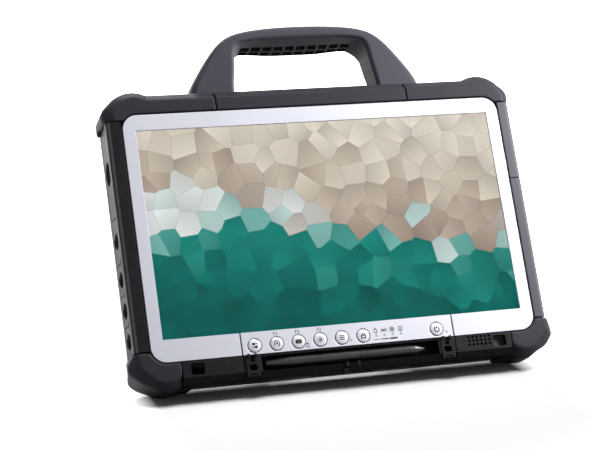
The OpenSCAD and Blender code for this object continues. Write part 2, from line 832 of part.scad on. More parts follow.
module handle_body() {
  outer = arch(handle_out);
  inner = arch(handle_in);
  n = len(outer);
  m = 4 * ring_steps;
  // The grip is deeper than the legs and its underside falls to the rear, and both follow the height
  rise = [for (p = outer) (p[1] - leg_base_z) / (handle_top - leg_base_z)];
  rear = [for (r = rise) handle_y + leg_d + (grip_d - leg_d) * r];
  drop = [for (r = rise) grip_drop * min(1, max(0, r - 0.6) / 0.2)];
  points = [for (i = [0 : n - 1]) each handle_ring(outer[i], inner[i], handle_y, rear[i], drop[i])];
  sides = [for (i = [0 : n - 2], k = [0 : m - 1])
             each [[i * m + k, i * m + (k + 1) % m, (i + 1) * m + k],
                   [i * m + (k + 1) % m, (i + 1) * m + (k + 1) % m, (i + 1) * m + k]]];
  ends = [[for (k = [m - 1 : -1 : 0]) k], [for (k = [0 : m - 1]) (n - 1) * m + k]];
  polyhedron(points, concat(sides, ends));
}

module carry_handle() {
  lattice_half = handle_half - leg_w - 13.5;
  cell = (2 * lattice_half + rib_t) / grip_cells;
  row_y = handle_y + grip_d * 0.46;
  row_d = (handle_y + grip_d - 2.2 - row_y - rib_t) / 2;
  color("darkslategray") difference() {
    handle_body();
    // Lattice cells in the rear half of the grip's underside
    for (i = [0 : grip_cells - 1], j = [0, 1])
      translate([i * cell - lattice_half, row_y + j * (row_d + rib_t), handle_top - grip_t - grip_drop - 4])
        cube([cell - rib_t, row_d, grip_t + grip_drop - 1.5]);
    both_sides() for (p = leg_screws)
      rod_z(p[0], p[1], leg_screw_r + 0.05, leg_base_z - 1, leg_base_z + leg_screw_grip);
  }
}

module handle_screws() {
  head_t = 2.6;
  color("gray") both_sides() for (p = leg_screws) {
    rod_z(p[0], p[1], 3.5, cavity_hi - head_t, cavity_hi);
    rod_z(p[0], p[1], leg_screw_r, cavity_hi - 1, leg_base_z + leg_screw_grip - 1);
  }
}

// Lower edge

// Profile of the lower edge with its bevel under the front face
module low_profile() {
  polygon([[0, low_hi], [0, crease_z], [low_bevel_h * 1.1, low_z], [low_d, low_z], [low_d, low_hi]]);
}

module pen_tray() {
  cradle_half = 4;
  stop_half = 2;
  ear_half = 1;
  color("#2a2a2e") difference() {
    union() {
      difference() {
        bar(-tray_half, tray_half) low_profile();
        // Channel for the pen
        block([-slot_len / 2, -1, slot_lo], [slot_len / 2, slot_d, slot_hi]);
      }
      // Cradles under the pen
      for (x = [-pen_len / 4, pen_len / 4])
        block([x - cradle_half, pen_y, slot_lo], [x + cradle_half, slot_d, slot_hi]);
      // Stops on the upper lip, and a catch with two ears at the middle of the lower lip
      for (x = [-0.19 * pen_len, 0.21 * pen_len])
        block([x - stop_half, -0.6, slot_hi], [x + stop_half, 1, low_hi - fit]);
      for (x = [-4.7, 4.8]) block([x - ear_half, -0.8, slot_lo - 2.6], [x + ear_half, 1, slot_lo + 0.8]);
      bar(-7, -2) polygon([[3, low_z + 1], [4, low_z - 3.4], [6.5, low_z - 3.4], [9, low_z + 1]]);
      both_sides() tether_eye();
    }
    rod_x(pen_y, pen_z, pen_d / 2 + run, -slot_len / 2, slot_len / 2);
    both_sides() tether_eye_cuts();
  }
}

// Raised housing of a tether eye with two knuckles on top, which overhang the key panel
module tether_eye() {
  half = 5.3;
  knuckle_r = 1.4;
  block([eye_x - half, -eye_out, eye_low], [eye_x + half, low_d - 2, low_hi - fit]);
  difference() {
    for (s = [-2.9, 2.9]) rod_y(eye_x + s, low_hi - 0.1, knuckle_r, -1.6, 1);
    block([-far, -run, low_hi - fit], [far, far, far]);
  }
}

// Eye, the slot below it and the notch above it
module tether_eye_cuts() {
  half = 3;
  notch = 1.3;
  slab(-2, 6) rounded(eye_x - half, eye_x + half, eye_z - 2.3, eye_z + 2.3, 1.5);
  block([eye_x - half, -2, eye_z - 5.9], [eye_x + half, 3, eye_z - 5.1]);
  block([eye_x - notch, -2, eye_z + 4], [eye_x + notch, 2.5, far]);
}

module stylus_barrel() {
  r = pen_d / 2;
  color("#202024") difference() {
    translate([pen_start, pen_y, pen_z]) rotate([0, 90, 0]) rotate_extrude()
      polygon([[0, 0], [r - 2.6, 0], [r - 2, 0.8], [r - 0.6, 14], [r, 20], [r, pen_len - 14],
               [r - 0.3, pen_len - 9], [1.6, pen_len - 2], [1, pen_len - 2], [1, pen_len - 6],
               [0, pen_len - 6]]);
    pen_button_well(0.2, 2.4);
  }
}

module stylus_tip() {
  color("dimgray") translate([pen_end - 6, pen_y, pen_z]) rotate([0, 90, 0]) rotate_extrude()
    polygon([[0, 0], [0.9, 0], [0.9, 4.6], [0.5, 5.7], [0, 6]]);
}

// Flat rocker of the pen on its front side
module pen_button_well(grow, depth) {
  x0 = pen_end - 0.424 * pen_len - grow;
  x1 = pen_end - 0.273 * pen_len + grow;
  half_h = 1.7 + grow;
  slab(pen_y - pen_d / 2 - 1, pen_y - pen_d / 2 + depth) rounded(x0, x1, pen_z - half_h, pen_z + half_h, 1.6);
}

module stylus_button() {
  color("gray") intersection() {
    pen_button_well(0, 1.8);
    rod_x(pen_y, pen_z, pen_d / 2 + 0.3, pen_start, pen_end);
  }
}

// A hollow cover of the lower edge between two x positions
module low_cover(x0, x1) {
  k = cover_skin;
  difference() {
    bar(x0, x1) low_profile();
    bar(x0 + k, x1 - k) polygon([[k, low_hi - k], [k, crease_z], [low_bevel_h + k, low_z + k],
                                 [low_d + 1, low_z + k], [low_d + 1, low_hi - k]]);
  }
}

// A lower cover with a strap pocket at x in its front
module pocketed_cover(x0, x1, x) {
  half = pocket_w / 2;
  difference() {
    union() {
      low_cover(x0, x1);
      block([x - half - pocket_wall, 0.5, pocket_lo - pocket_wall],
            [x + half + pocket_wall, pocket_d + pocket_wall, low_hi - 0.8]);
    }
    slab(-1, pocket_d) rounded(x - half, x + half, pocket_lo, pocket_lo + pocket_h, 1.5);
  }
}

module lower_left_cover() {
  color("#2a2a2e") pocketed_cover(-cover_out, -cover_in, 0.25 * cover_w - cover_out);
}

module lower_right_cover() {
  mid_z = (low_hi + crease_z) / 2 + 1.6;
  color("#2a2a2e") difference() {
    pocketed_cover(cover_in, cover_out, cover_out - 0.21 * cover_w);
    // Sound holes in three rows
    for (i = [-2.5 : 1 : 2.5], j = [-1 : 1])
      rod_y(speaker_x + i * grille_pitch, mid_z + j * grille_row, grille_r, -1, cover_skin + 1);
  }
}

module speaker() {
  lo = crease_z + 1;
  hi = low_hi - cover_skin - fit;
  rim = 1;
  color("black") difference() {
    block([speaker_x - speaker_half, cover_skin + fit, lo], [speaker_x + speaker_half, low_d, hi]);
    block([speaker_x - speaker_half + rim, cover_skin, lo + rim],
          [speaker_x + speaker_half - rim, cover_skin + 1.4, hi - rim]);
  }
}

// Recess for the dock connector in the underside
module dock_mouth(grow) {
  block([-dock_half - grow, dock_y0 - grow, -far], [dock_half + grow, dock_y1 + grow, core_lo + wall + 1]);
}

module dock_connector() {
  mid = (dock_y0 + dock_y1) / 2;
  flange = 3;
  top = core_lo + wall + flange;
  color("black") difference() {
    union() {
      block([-dock_half, dock_y0, core_lo + 0.6], [dock_half, dock_y1, top]);
      block([-dock_half - flange, dock_y0 - 1.5, core_lo + wall + fit],
            [dock_half + flange, dock_y1 + 1.5, top]);
    }
    block([4 - dock_half, mid - 1.6, core_lo - 1], [dock_half - 4, mid + 1.6, core_lo + 3]);
  }
}

// Side doors

// Lower and upper edge of the left door with its number from the top
function door_lo(n) = door_seams[5 - n] + seam / 2;
function door_hi(n) = door_seams[6 - n] - seam / 2;

// A left door, hinged at its front edge, with a finger cup near its rear edge
module port_cover(n) {
  lo = door_lo(n);
  hi = door_hi(n);
  mid = (lo + hi) / 2;
  cup_y = door_y1 - cup_d / 2 - 0.8;
  cup_h = n == 1 ? 6 : 0;
  color("gray") difference() {
    union() {
      block([-side_x, left_hinge_y, lo], [-wall_x - fit, door_y1, hi]);
      rod_z(-hinge_x, left_hinge_y, hinge_r - fit, lo, hi);
      block([-side_x, left_hinge_y - hinge_r + fit + 0.6, lo], [-hinge_x, left_hinge_y + fit, hi]);
    }
    rod_z(-hinge_x, left_hinge_y, door_pin_r + 0.1, lo - 1, hi + 1);
    // Reliefs for the lugs that carry the pin
    for (z = [lo, hi])
      block([-far, -1, z - lug_t - run], [-wall_x + 1, left_hinge_y + lug_r + run, z + lug_t + run]);
    // Finger cup, drawn out on the tall door
    for (z = [mid - cup_h / 2, mid + cup_h / 2])
      translate([-side_x - cup_out, cup_y, z]) sphere(d = cup_d + 0.9);
    block([-side_x - 1, door_y1 - 1.6, mid - 3], [-side_x + 1.2, door_y1 + 1, mid + 3]);
  }
}

module cover_pins() {
  color("silver") rod_z(-hinge_x, left_hinge_y, door_pin_r, side_lo + seam, side_hi - seam);
}

// Opening in the left wall behind door i from below
module port_hole(i) {
  block([-wall_x - 1, port_y0, door_seams[i] + port_edge],
        [-inner_x + 1, port_y1, door_seams[i + 1] - port_edge]);
}

module io_connectors() {
  y0 = port_y0 + fit;
  y1 = port_y1 - fit;
  mid = (y0 + y1) / 2;
  color("silver") for (i = [0 : 4]) {
    lo = door_seams[i] + port_edge + fit;
    hi = door_seams[i + 1] - port_edge - fit;
    difference() {
      union() {
        block([-wall_x + 0.6, y0, lo], [-inner_x + 14, y1, hi]);
        block([-inner_x + fit, y0 - 1, lo - 1], [-inner_x + 2, y1 + 1, hi + 1]);
      }
      block([-wall_x, y0 + 1, lo + 1], [-inner_x + 9, y1 - 1, hi - 1]);
    }
    // Contact tongue, left out of the tall network port
    if (i < 4) block([-wall_x + 2, mid - 0.5, lo + 2], [-inner_x + 9.5, mid + 0.5, hi - 2]);
  }
}

// Plan of a right side piece that wraps round the front edge
module wrap_plan(y1) {
  polygon([[pocket_x + fit, 0], [side_x - rail_chamfer, 0], [side_x, rail_chamfer], [side_x, y1],
           [wall_x + fit, y1], [wall_x + fit, guard_lip - fit], [pocket_x + fit, guard_lip - fit]]);
}

module card_door() {
  lo = right_seam + seam / 2;
  hi = side_hi - seam / 2;
  color("gray") difference() {
    union() {
      column(lo, hi) wrap_plan(right_hinge_y);
      rod_z(hinge_x, right_hinge_y, hinge_r - fit, lo, hi);
    }
    rod_z(hinge_x, right_hinge_y, door_pin_r + 0.1, lo - 1, hi + 1);
    // Reliefs for the lugs that carry the pin
    for (z = [lo, hi])
      block([wall_x - 1, right_hinge_y - lug_r - 0.6 - run, z - lug_t - run], [far, far, z + lug_t + run]);
    translate([side_x + cup_out, split_y + 7, (lo + hi) / 2]) sphere(d = cup_d);
  }
}

module card_door_pin() {
  color("silver") rod_z(hinge_x, right_hinge_y, door_pin_r, right_seam + seam, side_hi - seam);
}

// Mouth of the card slots in the right wall
module card_mouth(grow) {
  block([inner_x - 1, card_y0 - grow, right_seam + card_edge - grow],
        [wall_x + 1, card_y1 + grow, side_hi - card_edge + grow]);
}

module card_slots() {
  z0 = right_seam + card_edge;
  z1 = side_hi - card_edge;
  cage_d = 42;
  slot_h = 3.4;
  color("silver") difference() {
    union() {
      block([inner_x - cage_d, card_y0, z0], [wall_x - 0.6, card_y1, z1]);
      block([inner_x - 2, card_y0 - 1, z0 - 1], [inner_x - fit, card_y1 + 1, z1 + 1]);
    }
    for (y = [card_y0 + 1, card_y0 + 5.6])
      block([inner_x - cage_d + 2, y, z0 + 1], [wall_x, y + slot_h, z1 - 1]);
  }
}

module battery_pack() {
  mid_y = (bat_y0 + bat_y1) / 2;
  color("gray") difference() {
    union() {
      column(side_lo + seam / 2, right_seam - seam / 2) wrap_plan(door_y1);
      block([bat_x0 + fit, bat_y0, bat_lo], [wall_x + 1, bat_y1, bat_hi]);
    }
    // Track of the latch slider and its tongue
    block([side_x - latch_deep, door_y1 - 14, latch_z - latch_half - 2],
          [far, door_y1 + 1, latch_z + latch_half + 2]);
    // Slots for the contacts at the inner end
    for (i = [-2 : 2])
      block([bat_x0 - 1, mid_y - 3, latch_z + 4 * i - 0.8], [bat_x0 + 4, mid_y + 3, latch_z + 4 * i + 0.8]);
  }
}

module battery_latch() {
  y1 = door_y1 - 0.4;
  len = 9;
  color("#303034") union() {
    block([side_x - latch_deep + fit, y1 - len, latch_z - latch_half],
          [side_x - 0.6, y1, latch_z + latch_half]);
    // Finger ridges
    for (i = [0 : 2])
      block([side_x - 1, y1 - 8.5 + 2.4 * i, latch_z - 3], [side_x, y1 - 7.2 + 2.4 * i, latch_z + 3]);
  }
}

// Inner pieces

// A chip or socket of width w, height h and thickness t on the board, with its middle at x and z
module chip(x, z, w, h, t) {
  block([x - w / 2, board_y, z - h / 2], [x + w / 2, board_face + t, z + h / 2]);
}

module mainboard() {
  color("darkgreen") difference() {
    union() {
      block([board_x0, board_y, board_lo], [board_x1, board_face, board_hi]);
      // Processor package, sockets for memory and radio, and port block
      chip(cpu_x, cpu_z, 32, 32, chip_t);
      chip(memory_x, memory_lo + 3, 18, 6, socket_t);
      chip(radio_x, radio_lo + 2.5, 14, 5, socket_t);
      chip(cell_x, up_board(0.42), 14, 36, 5);
    }
    for (p = board_posts) rod_y(p[0], p[1], screw_r + 0.1, 0, far);
    // Cut-outs round the screw bosses of the case
    for (p = case_screws_at) rod_y(p[0], p[1], boss_r + 0.6, 0, far);
  }
}

module heat_spreader() {
  y0 = board_face + chip_t;
  half_w = 24;
  half_h = 26;
  fins = 8;
  fin_t = 1.6;
  pitch = (2 * half_w - fin_t) / (fins - 1);
  color("silver") union() {
    block([cpu_x - half_w, y0, cpu_z - half_h], [cpu_x + half_w, y0 + 1.6, cpu_z + half_h]);
    for (i = [0 : fins - 1]) {
      x = cpu_x - half_w + pitch * i;
      block([x, y0 + 1, cpu_z - half_h], [x + fin_t, y0 + 5.4, cpu_z + half_h]);
    }
  }
}

module memory_module() {
  y0 = board_face + socket_t;
  half = memory_w / 2;
  pitch = memory_h / 4.8;
  color("seagreen") union() {
    block([memory_x - half, y0, memory_lo], [memory_x + half, y0 + 1.2, memory_lo + memory_h]);
    for (i = [0 : 3]) {
      z = memory_lo + (i + 0.57) * pitch;
      block([memory_x - 0.73 * half, y0 + 1, z], [memory_x + 0.73 * half, y0 + 2.2, z + 0.78 * pitch]);
    }
  }
}

module wireless_card() {
  y0 = board_face + socket_t;
  half = radio_w / 2;
  can = 0.73 * half;
  color("seagreen") union() {
    block([radio_x - half, y0, radio_lo], [radio_x + half, y0 + 1, radio_lo + radio_h]);
    block([radio_x - can, y0 + 0.8, radio_lo + 0.19 * radio_h],
          [radio_x + can, y0 + 2.4, radio_lo + 0.86 * radio_h]);
  }
}

module storage_drive() {
  rim = 2;
  size = [drive_w, drive_t, drive_h];
  color("silver") translate([drive_side - inner_x, plate_back, cavity_lo + drive_low]) difference() {
    cube(size);
    translate([rim, drive_t - 0.4, rim]) cube(size - [2 * rim, 0, 2 * rim]);
  }
}

module coin_cell() {
  color("silver") rod_y(cell_x, board_hi - 1.6 * cell_r, cell_r, board_face, board_face + 3.2);
}

// Stand

module stand_turn() {
  translate([0, stand_y, stand_hinge_z]) rotate([stand_fold, 0, 0]) children();
}

module kickstand() {
  half = stand_half;
  side = stand_half - stand_bar;
  end = -stand_len + stand_foot_h;
  color("#38383c") stand_turn() difference() {
    union() {
      block([-half, -stand_t / 2, end], [half, stand_t / 2, 0]);
      rod_x(0, 0, stand_barrel_r, -half, half);
    }
    // Window, and the gap between the two hinge barrels
    block([-side, -far, end + stand_bar], [side, far, -stand_bar]);
    block([-side, -far, -5], [side, far, far]);
    both_sides() rod_x(0, 0, stand_pin_r + 0.1, half - pin_in - 1, half + 1);
  }
}

module kickstand_pins() {
  color("silver") both_sides()
    rod_x(stand_y, stand_hinge_z, stand_pin_r, stand_half - pin_in, stand_half + pin_out);
}

module kickstand_foot() {
  color("#18181a") difference() {
    stand_turn() block([-stand_half, -stand_t / 2, -stand_len - stand_t],
                       [stand_half, stand_t / 2, stand_foot_h - stand_len]);
    below_table();
  }
}

// Fasteners and feet

module case_screws() {
  head_t = 2;
  color("silver") {
    for (p = case_screws_at) {
      rod_y(p[0], p[1], screw_head_r, back_y - sunk, back_y - sunk + head_t);
      rod_y(p[0], p[1], screw_r, split_y + 0.3, back_y - sunk + 1);
    }
    for (p = board_posts) {
      rod_y(p[0], p[1], screw_head_r - 0.2, board_face, board_face + 1.6);
      rod_y(p[0], p[1], screw_r - 0.05, plate_back + 0.2, board_face + 1);
    }
  }
}

module back_feet() {
  color("#18181a") for (p = feet_at)
    translate([p[0], back_y - 1, p[1]]) rotate([-90, 0, 0]) cylinder(r1 = foot_r, r2 = foot_r - 1, h = 5);
}

// Leans the upright tablet back and stands it on the table
module leaning() {
  translate([0, -mid_y, floor_d]) rotate([-recline, 0, 0]) children();
}

leaning() front_frame();
leaning() rear_cover();
leaning() front_bezel();
leaning() button_panel();
leaning() display_gasket();
leaning() touch_glass();
leaning() lcd_panel();
leaning() key(0);  // key_1
leaning() key(1);  // key_2
leaning() key(2);  // key_3
leaning() key(3);  // key_4
leaning() key(4);  // key_5
leaning() key(5);  // key_6
leaning() key(6);  // power_button
leaning() button_board();
leaning() led_lenses();
leaning() guard_top_left();
leaning() guard_top_right();
leaning() guard_top_centre();
leaning() guard_bottom_left();
leaning() guard_bottom_right();
leaning() carry_handle();
leaning() handle_screws();
leaning() pen_tray();
leaning() stylus_barrel();
leaning() stylus_tip();
leaning() stylus_button();
leaning() lower_left_cover();
leaning() lower_right_cover();
leaning() speaker();
leaning() dock_connector();
leaning() port_cover(1);  // port_cover_1
leaning() port_cover(2);  // port_cover_2
leaning() port_cover(3);  // port_cover_3
leaning() port_cover(4);  // port_cover_4
leaning() port_cover(5);  // port_cover_5
leaning() cover_pins();
leaning() io_connectors();
leaning() battery_pack();
leaning() battery_latch();
leaning() card_door();
leaning() card_door_pin();
leaning() card_slots();
leaning() mainboard();
leaning() heat_spreader();
leaning() memory_module();
leaning() storage_drive();
leaning() wireless_card();
leaning() coin_cell();
leaning() kickstand();
leaning() kickstand_pins();
leaning() kickstand_foot();
leaning() case_screws();
leaning() back_feet();
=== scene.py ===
import bmesh
import bpy
import json
import math
from mathutils import Matrix, Vector


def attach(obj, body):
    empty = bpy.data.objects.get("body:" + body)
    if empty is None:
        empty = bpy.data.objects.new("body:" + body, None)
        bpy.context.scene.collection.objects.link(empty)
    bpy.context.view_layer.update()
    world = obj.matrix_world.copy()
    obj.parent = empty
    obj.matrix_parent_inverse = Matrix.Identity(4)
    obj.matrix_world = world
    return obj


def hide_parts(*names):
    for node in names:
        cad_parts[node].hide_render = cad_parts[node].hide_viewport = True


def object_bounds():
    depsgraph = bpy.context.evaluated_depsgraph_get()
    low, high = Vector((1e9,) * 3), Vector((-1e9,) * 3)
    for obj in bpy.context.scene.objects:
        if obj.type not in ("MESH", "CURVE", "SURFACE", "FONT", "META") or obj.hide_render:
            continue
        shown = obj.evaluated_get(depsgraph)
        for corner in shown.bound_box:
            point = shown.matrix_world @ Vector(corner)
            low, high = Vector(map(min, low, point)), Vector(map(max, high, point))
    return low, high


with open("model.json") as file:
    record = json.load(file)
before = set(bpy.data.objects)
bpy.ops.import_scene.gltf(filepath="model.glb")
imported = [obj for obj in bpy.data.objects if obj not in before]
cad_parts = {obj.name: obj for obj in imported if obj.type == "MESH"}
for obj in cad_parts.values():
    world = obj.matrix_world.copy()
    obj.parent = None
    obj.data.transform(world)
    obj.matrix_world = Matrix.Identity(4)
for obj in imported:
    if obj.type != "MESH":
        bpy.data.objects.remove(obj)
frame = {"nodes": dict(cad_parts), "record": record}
cad_box = [[float(n) for n in corner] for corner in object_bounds()]

# Table, lamps and camera
# The tablet stands on a white table under a dim white sky, in front of a long lens.
# Two near lamps, a strong one on the right and a weak one on the left, light it and not the table.
# Two far ones, above and behind, light both and lay the shadow in front of the tablet.
scene = bpy.context.scene
scene.view_settings.view_transform = "Standard"

camera_at = Vector((-0.471, -1.374696, 0.433789))
camera_side = math.radians(18.28)
camera_down = math.radians(12.47)
lens = bpy.data.cameras.new("camera")
lens.sensor_width = 36
lens.lens = 111.55
lens.clip_end = 30
camera = bpy.data.objects.new("camera", lens)
gaze = Vector((math.sin(camera_side) * math.cos(camera_down),
               math.cos(camera_side) * math.cos(camera_down),
               -math.sin(camera_down)))
camera.location = camera_at
camera.rotation_euler = gaze.to_track_quat("-Z", "Y").to_euler()
scene.collection.objects.link(camera)
scene.camera = camera


def lamp(name, at, aim, width, height, power):
    """A flat lamp that shines from one place to another."""
    light = bpy.data.lights.new(name, "AREA")
    light.shape = "RECTANGLE"
    light.size = width
    light.size_y = height
    light.energy = power
    holder = bpy.data.objects.new(name, light)
    holder.location = at
    holder.rotation_euler = (Vector(aim) - Vector(at)).to_track_quat("-Z", "Y").to_euler()
    scene.collection.objects.link(holder)
    return holder


lamp_face = lamp("lamp_face", at=(0.62, -0.22, 0.50), aim=(0, 0, 0.12), width=0.3, height=0.3, power=19.5)
lamp_left = lamp("lamp_left", at=(-0.80, -0.15, 0.46), aim=(-0.1, 0, 0.14), width=0.25, height=0.4, power=0.6)
lamp("lamp_top", at=(0, 0.1, 2.0), aim=(0, 0, 0), width=1.0, height=1.0, power=41)
lamp("lamp_back", at=(0, 1.6, 1.1), aim=(0, 0, 0.05), width=0.8, height=0.6, power=36)


class Wire:
    """A socket on a bench, with arithmetic that adds Math nodes."""

    def __init__(self, bench, socket):
        self.bench = bench
        self.socket = socket

    def math(self, operation, first, second=0.0):
        return self.bench.node("ShaderNodeMath", {"operation": operation}, {0: first, 1: second})

    def __add__(self, other):
        return self.math("ADD", self, other)

    def __sub__(self, other):
        return self.math("SUBTRACT", self, other)

    def __rsub__(self, other):
        return self.math("SUBTRACT", other, self)

    def __mul__(self, other):
        return self.math("MULTIPLY", self, other)

    def __truediv__(self, other):
        return self.math("DIVIDE", self, other)

    __radd__ = __add__
    __rmul__ = __mul__


class Bench:
    """A node tree that is put together one node at a time."""

    def __init__(self, tree):
        self.tree = tree

    def feed(self, made, inputs):
        for key, value in inputs.items():
            if isinstance(value, Wire):
                self.tree.links.new(value.socket, made.inputs[key])
            else:
                made.inputs[key].default_value = value

    def node(self, kind, settings=None, inputs=None, output=0):
        made = self.tree.nodes.new(kind)
        for key, value in (settings or {}).items():
            if key == "stops":
                while len(made.color_ramp.elements) < len(value):
                    made.color_ramp.elements.new(0.5)
                for stop, (place, colour) in zip(made.color_ramp.elements, value):
                    stop.position = place
                    stop.color = colour
            else:
                setattr(made, key, value)
        self.feed(made, inputs or {})
        return Wire(self, made.outputs[output])

    def mix(self, share, first, second, blend="MIX"):
        """Mixes two colours by a share between 0 and 1."""
        return self.node("ShaderNodeMix", {"data_type": "RGBA", "blend_type": blend},
                         {0: share, 6: first, 7: second}, output=2)

    def ramp(self, value, low, high, start=0.0, stop=1.0):
        """Carries a value from one range to another, and holds it at both ends."""
        return self.node("ShaderNodeMapRange", None, {"Value": value, 1: low, 2: high, 3: start, 4: stop})


class Finish(Bench):
    """A material with its Principled shader."""

    def __init__(self, name, fixed=None):
        self.material = bpy.data.materials.new(name)
        self.material.use_nodes = True
        super().__init__(self.material.node_tree)
        self.shader = self.tree.nodes["Principled BSDF"]
        self.output = self.tree.nodes["Material Output"]
        self.feed(self.shader, fixed or {})


def seen(bench):
    """One for what the lens sees, straight, in a reflection or through the glass."""
    rays = ("Camera", "Glossy", "Transmission")
    path = [bench.node("ShaderNodeLightPath", None, None, "Is %s Ray" % ray) for ray in rays]
    return path[0] + path[1] + path[2]


sky_light = 0.10
sky = bpy.data.worlds.new("sky")
sky.use_nodes = True
air = Bench(sky.node_tree)
air.feed(sky.node_tree.nodes["Background"], {"Color": (1, 1, 1, 1),
                                             "Strength": sky_light + (1 - sky_light) * seen(air)})
scene.world = sky

table_half = 8
table_corners = [(x * table_half, y * table_half, 0) for x, y in ((-1, -1), (1, -1), (1, 1), (-1, 1))]
table_mesh = bpy.data.meshes.new("table")
table_mesh.from_pydata(table_corners, [], [(0, 1, 2, 3)])
table = bpy.data.objects.new("table", table_mesh)
scene.collection.objects.link(table)
spared = bpy.data.collections.new("spared_by_near_lamps")
spared.objects.link(table)
spared.collection_objects[0].light_linking.link_state = "EXCLUDE"
for near in (lamp_face, lamp_left):
    near.light_linking.receiver_collection = spared
shadow_middle = -0.006
shadow_half = 0.148
shadow_fade = 0.016
glow_from = 0.24
glow_full = 0.8
white = Finish("table_white")
spot = white.node("ShaderNodeTexCoord", output="Object")
away = white.node("ShaderNodeVectorMath", {"operation": "LENGTH"}, {0: spot}, "Value")
across = white.node("ShaderNodeSeparateXYZ", None, {0: spot}, "X")
# Painted light: past the tablet's ends the table glows white, which paints light over the ends of its shadow
# and keeps that shadow short at both sides. The glow further out only makes the backdrop white.
painted_light_beside = white.ramp(across.math("ABSOLUTE", across - shadow_middle), shadow_half, shadow_half + shadow_fade)
glow = (white.ramp(away, glow_from, glow_full) + painted_light_beside) * seen(white)
matt = white.node("ShaderNodeBsdfDiffuse", None, {"Color": (0.93, 0.93, 0.94, 1)})
dim = white.node("ShaderNodeBsdfDiffuse", None, {"Color": (0.30, 0.30, 0.31, 1)})
top = white.node("ShaderNodeMixShader", None, {0: seen(white), 1: dim, 2: matt})
lift = white.node("ShaderNodeEmission", None, {"Color": (1, 1, 1, 1), "Strength": glow})
both = white.node("ShaderNodeAddShader", None, {0: top, 1: lift})
white.tree.links.new(both.socket, white.output.inputs["Surface"])
table_mesh.materials.append(white.material)

# Front frame and rear cover
# Two castings of magnesium alloy that close on each other behind the display, painted near black.
# The paint is a fine textured enamel, with a painted highlight drawn as a paler band along the chamfer of the
# left rail, and the rear cover has a row of blind cooling slots above its stand.
mid_screen = (0, -0.0274356, 0.1213846)
lean_back = math.radians(27.3)
LEAN = Matrix.Translation(mid_screen) @ Matrix.Rotation(-lean_back, 4, "X")
FROM_MM = LEAN @ Matrix.Scale(0.001, 4)
TO_MM = FROM_MM.inverted()
BODIES = {node: body for body, nodes in frame["record"]["behaviour"]["bodies"].items() for node in nodes}


def moulded(name, colour, rough, grain, depth, fixed=None, worn=0.05, patch=0.12):
    """A textured surface: fine grain, cloudy colour, and paler smoother scuffs on its edges."""
    made = Finish(name, fixed)
    place = made.node("ShaderNodeTexCoord", output="Object")
    fine = made.node("ShaderNodeTexNoise", None, {"Vector": place, "Scale": 1 / grain, "Detail": 3.0})
    cloud = made.node("ShaderNodeTexNoise", None, {"Vector": place, "Scale": 22.0, "Detail": 4.0})
    rub = made.node("ShaderNodeTexNoise", None, {"Vector": place, "Scale": 160.0, "Detail": 5.0})
    edge = made.ramp(made.node("ShaderNodeNewGeometry", output="Pointiness"), 0.52, 0.62)
    scuff = edge * made.ramp(rub, 0.42, 0.62) * worn
    dark = tuple(c * (1 - patch) for c in colour) + (1,)
    pale = tuple(c * (1 + patch) for c in colour) + (1,)
    rubbed = tuple(min(1, 0.6 * c + 0.10) for c in colour) + (1,)
    base = made.mix(scuff, made.mix(cloud, dark, pale), rubbed)
    bump = made.node("ShaderNodeBump", None, {"Strength": 0.6, "Distance": depth, "Height": fine})
    made.feed(made.shader, {"Base Color": base, "Normal": bump,
                            "Roughness": rough - 0.08 + 0.16 * cloud - 0.15 * scuff})
    return made


def plain_mesh(piece):
    """The piece with its modifiers, as a mesh of its own."""
    return bpy.data.meshes.new_from_object(piece.evaluated_get(bpy.context.evaluated_depsgraph_get()))


def settle(piece, sharp):
    """Turns the piece's modifiers into plain mesh, smooth but for edges sharper than the angle."""
    for last in (False, True):
        mesh = plain_mesh(piece)
        piece.modifiers.clear()
        old = piece.data
        piece.data = mesh
        bpy.data.meshes.remove(old)
        if not last:
            mesh.polygons.foreach_set("use_smooth", [True] * len(mesh.polygons))
            mesh.set_sharp_from_angle(angle=math.radians(sharp))
            flats = piece.modifiers.new("flats", "WEIGHTED_NORMAL")
            flats.keep_sharp = True
    piece.data.name = piece.name


def round_edges(piece, width, sharp, segments=2):
    """Breaks the edges that are sharper than the angle with a small round."""
    rounding = piece.modifiers.new("edge", "BEVEL")
    rounding.width = width
    rounding.segments = segments
    rounding.limit_method = "ANGLE"
    rounding.angle_limit = math.radians(sharp)
    rounding.use_clamp_overlap = False


def cut(piece, cutter):
    """Takes the cutter out of the piece."""
    taking = piece.modifiers.new("cut", "BOOLEAN")
    taking.operation = "DIFFERENCE"
    taking.solver = "EXACT"
    taking.object = cutter


def skin(node, finish, edge, sharp=28, segments=2, cutter=None):
    """A copy of a CAD node with its edges broken by a small round, which stands for the node."""
    mesh = frame["nodes"][node].data.copy()
    shape = bmesh.new()
    shape.from_mesh(mesh)
    bmesh.ops.remove_doubles(shape, verts=shape.verts, dist=2e-6)
    bmesh.ops.dissolve_limit(shape, angle_limit=math.radians(0.4), verts=shape.verts, edges=shape.edges)
    shape.to_mesh(mesh)
    shape.free()
    mesh.materials.clear()
    mesh.materials.append(finish.material)
    piece = bpy.data.objects.new(node + "_skin", mesh)
    scene.collection.objects.link(piece)
    if cutter:
        cut(piece, cutter)
    round_edges(piece, edge, sharp, segments)
    settle(piece, sharp)
    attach(piece, BODIES[node])
    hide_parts(node)
    return piece


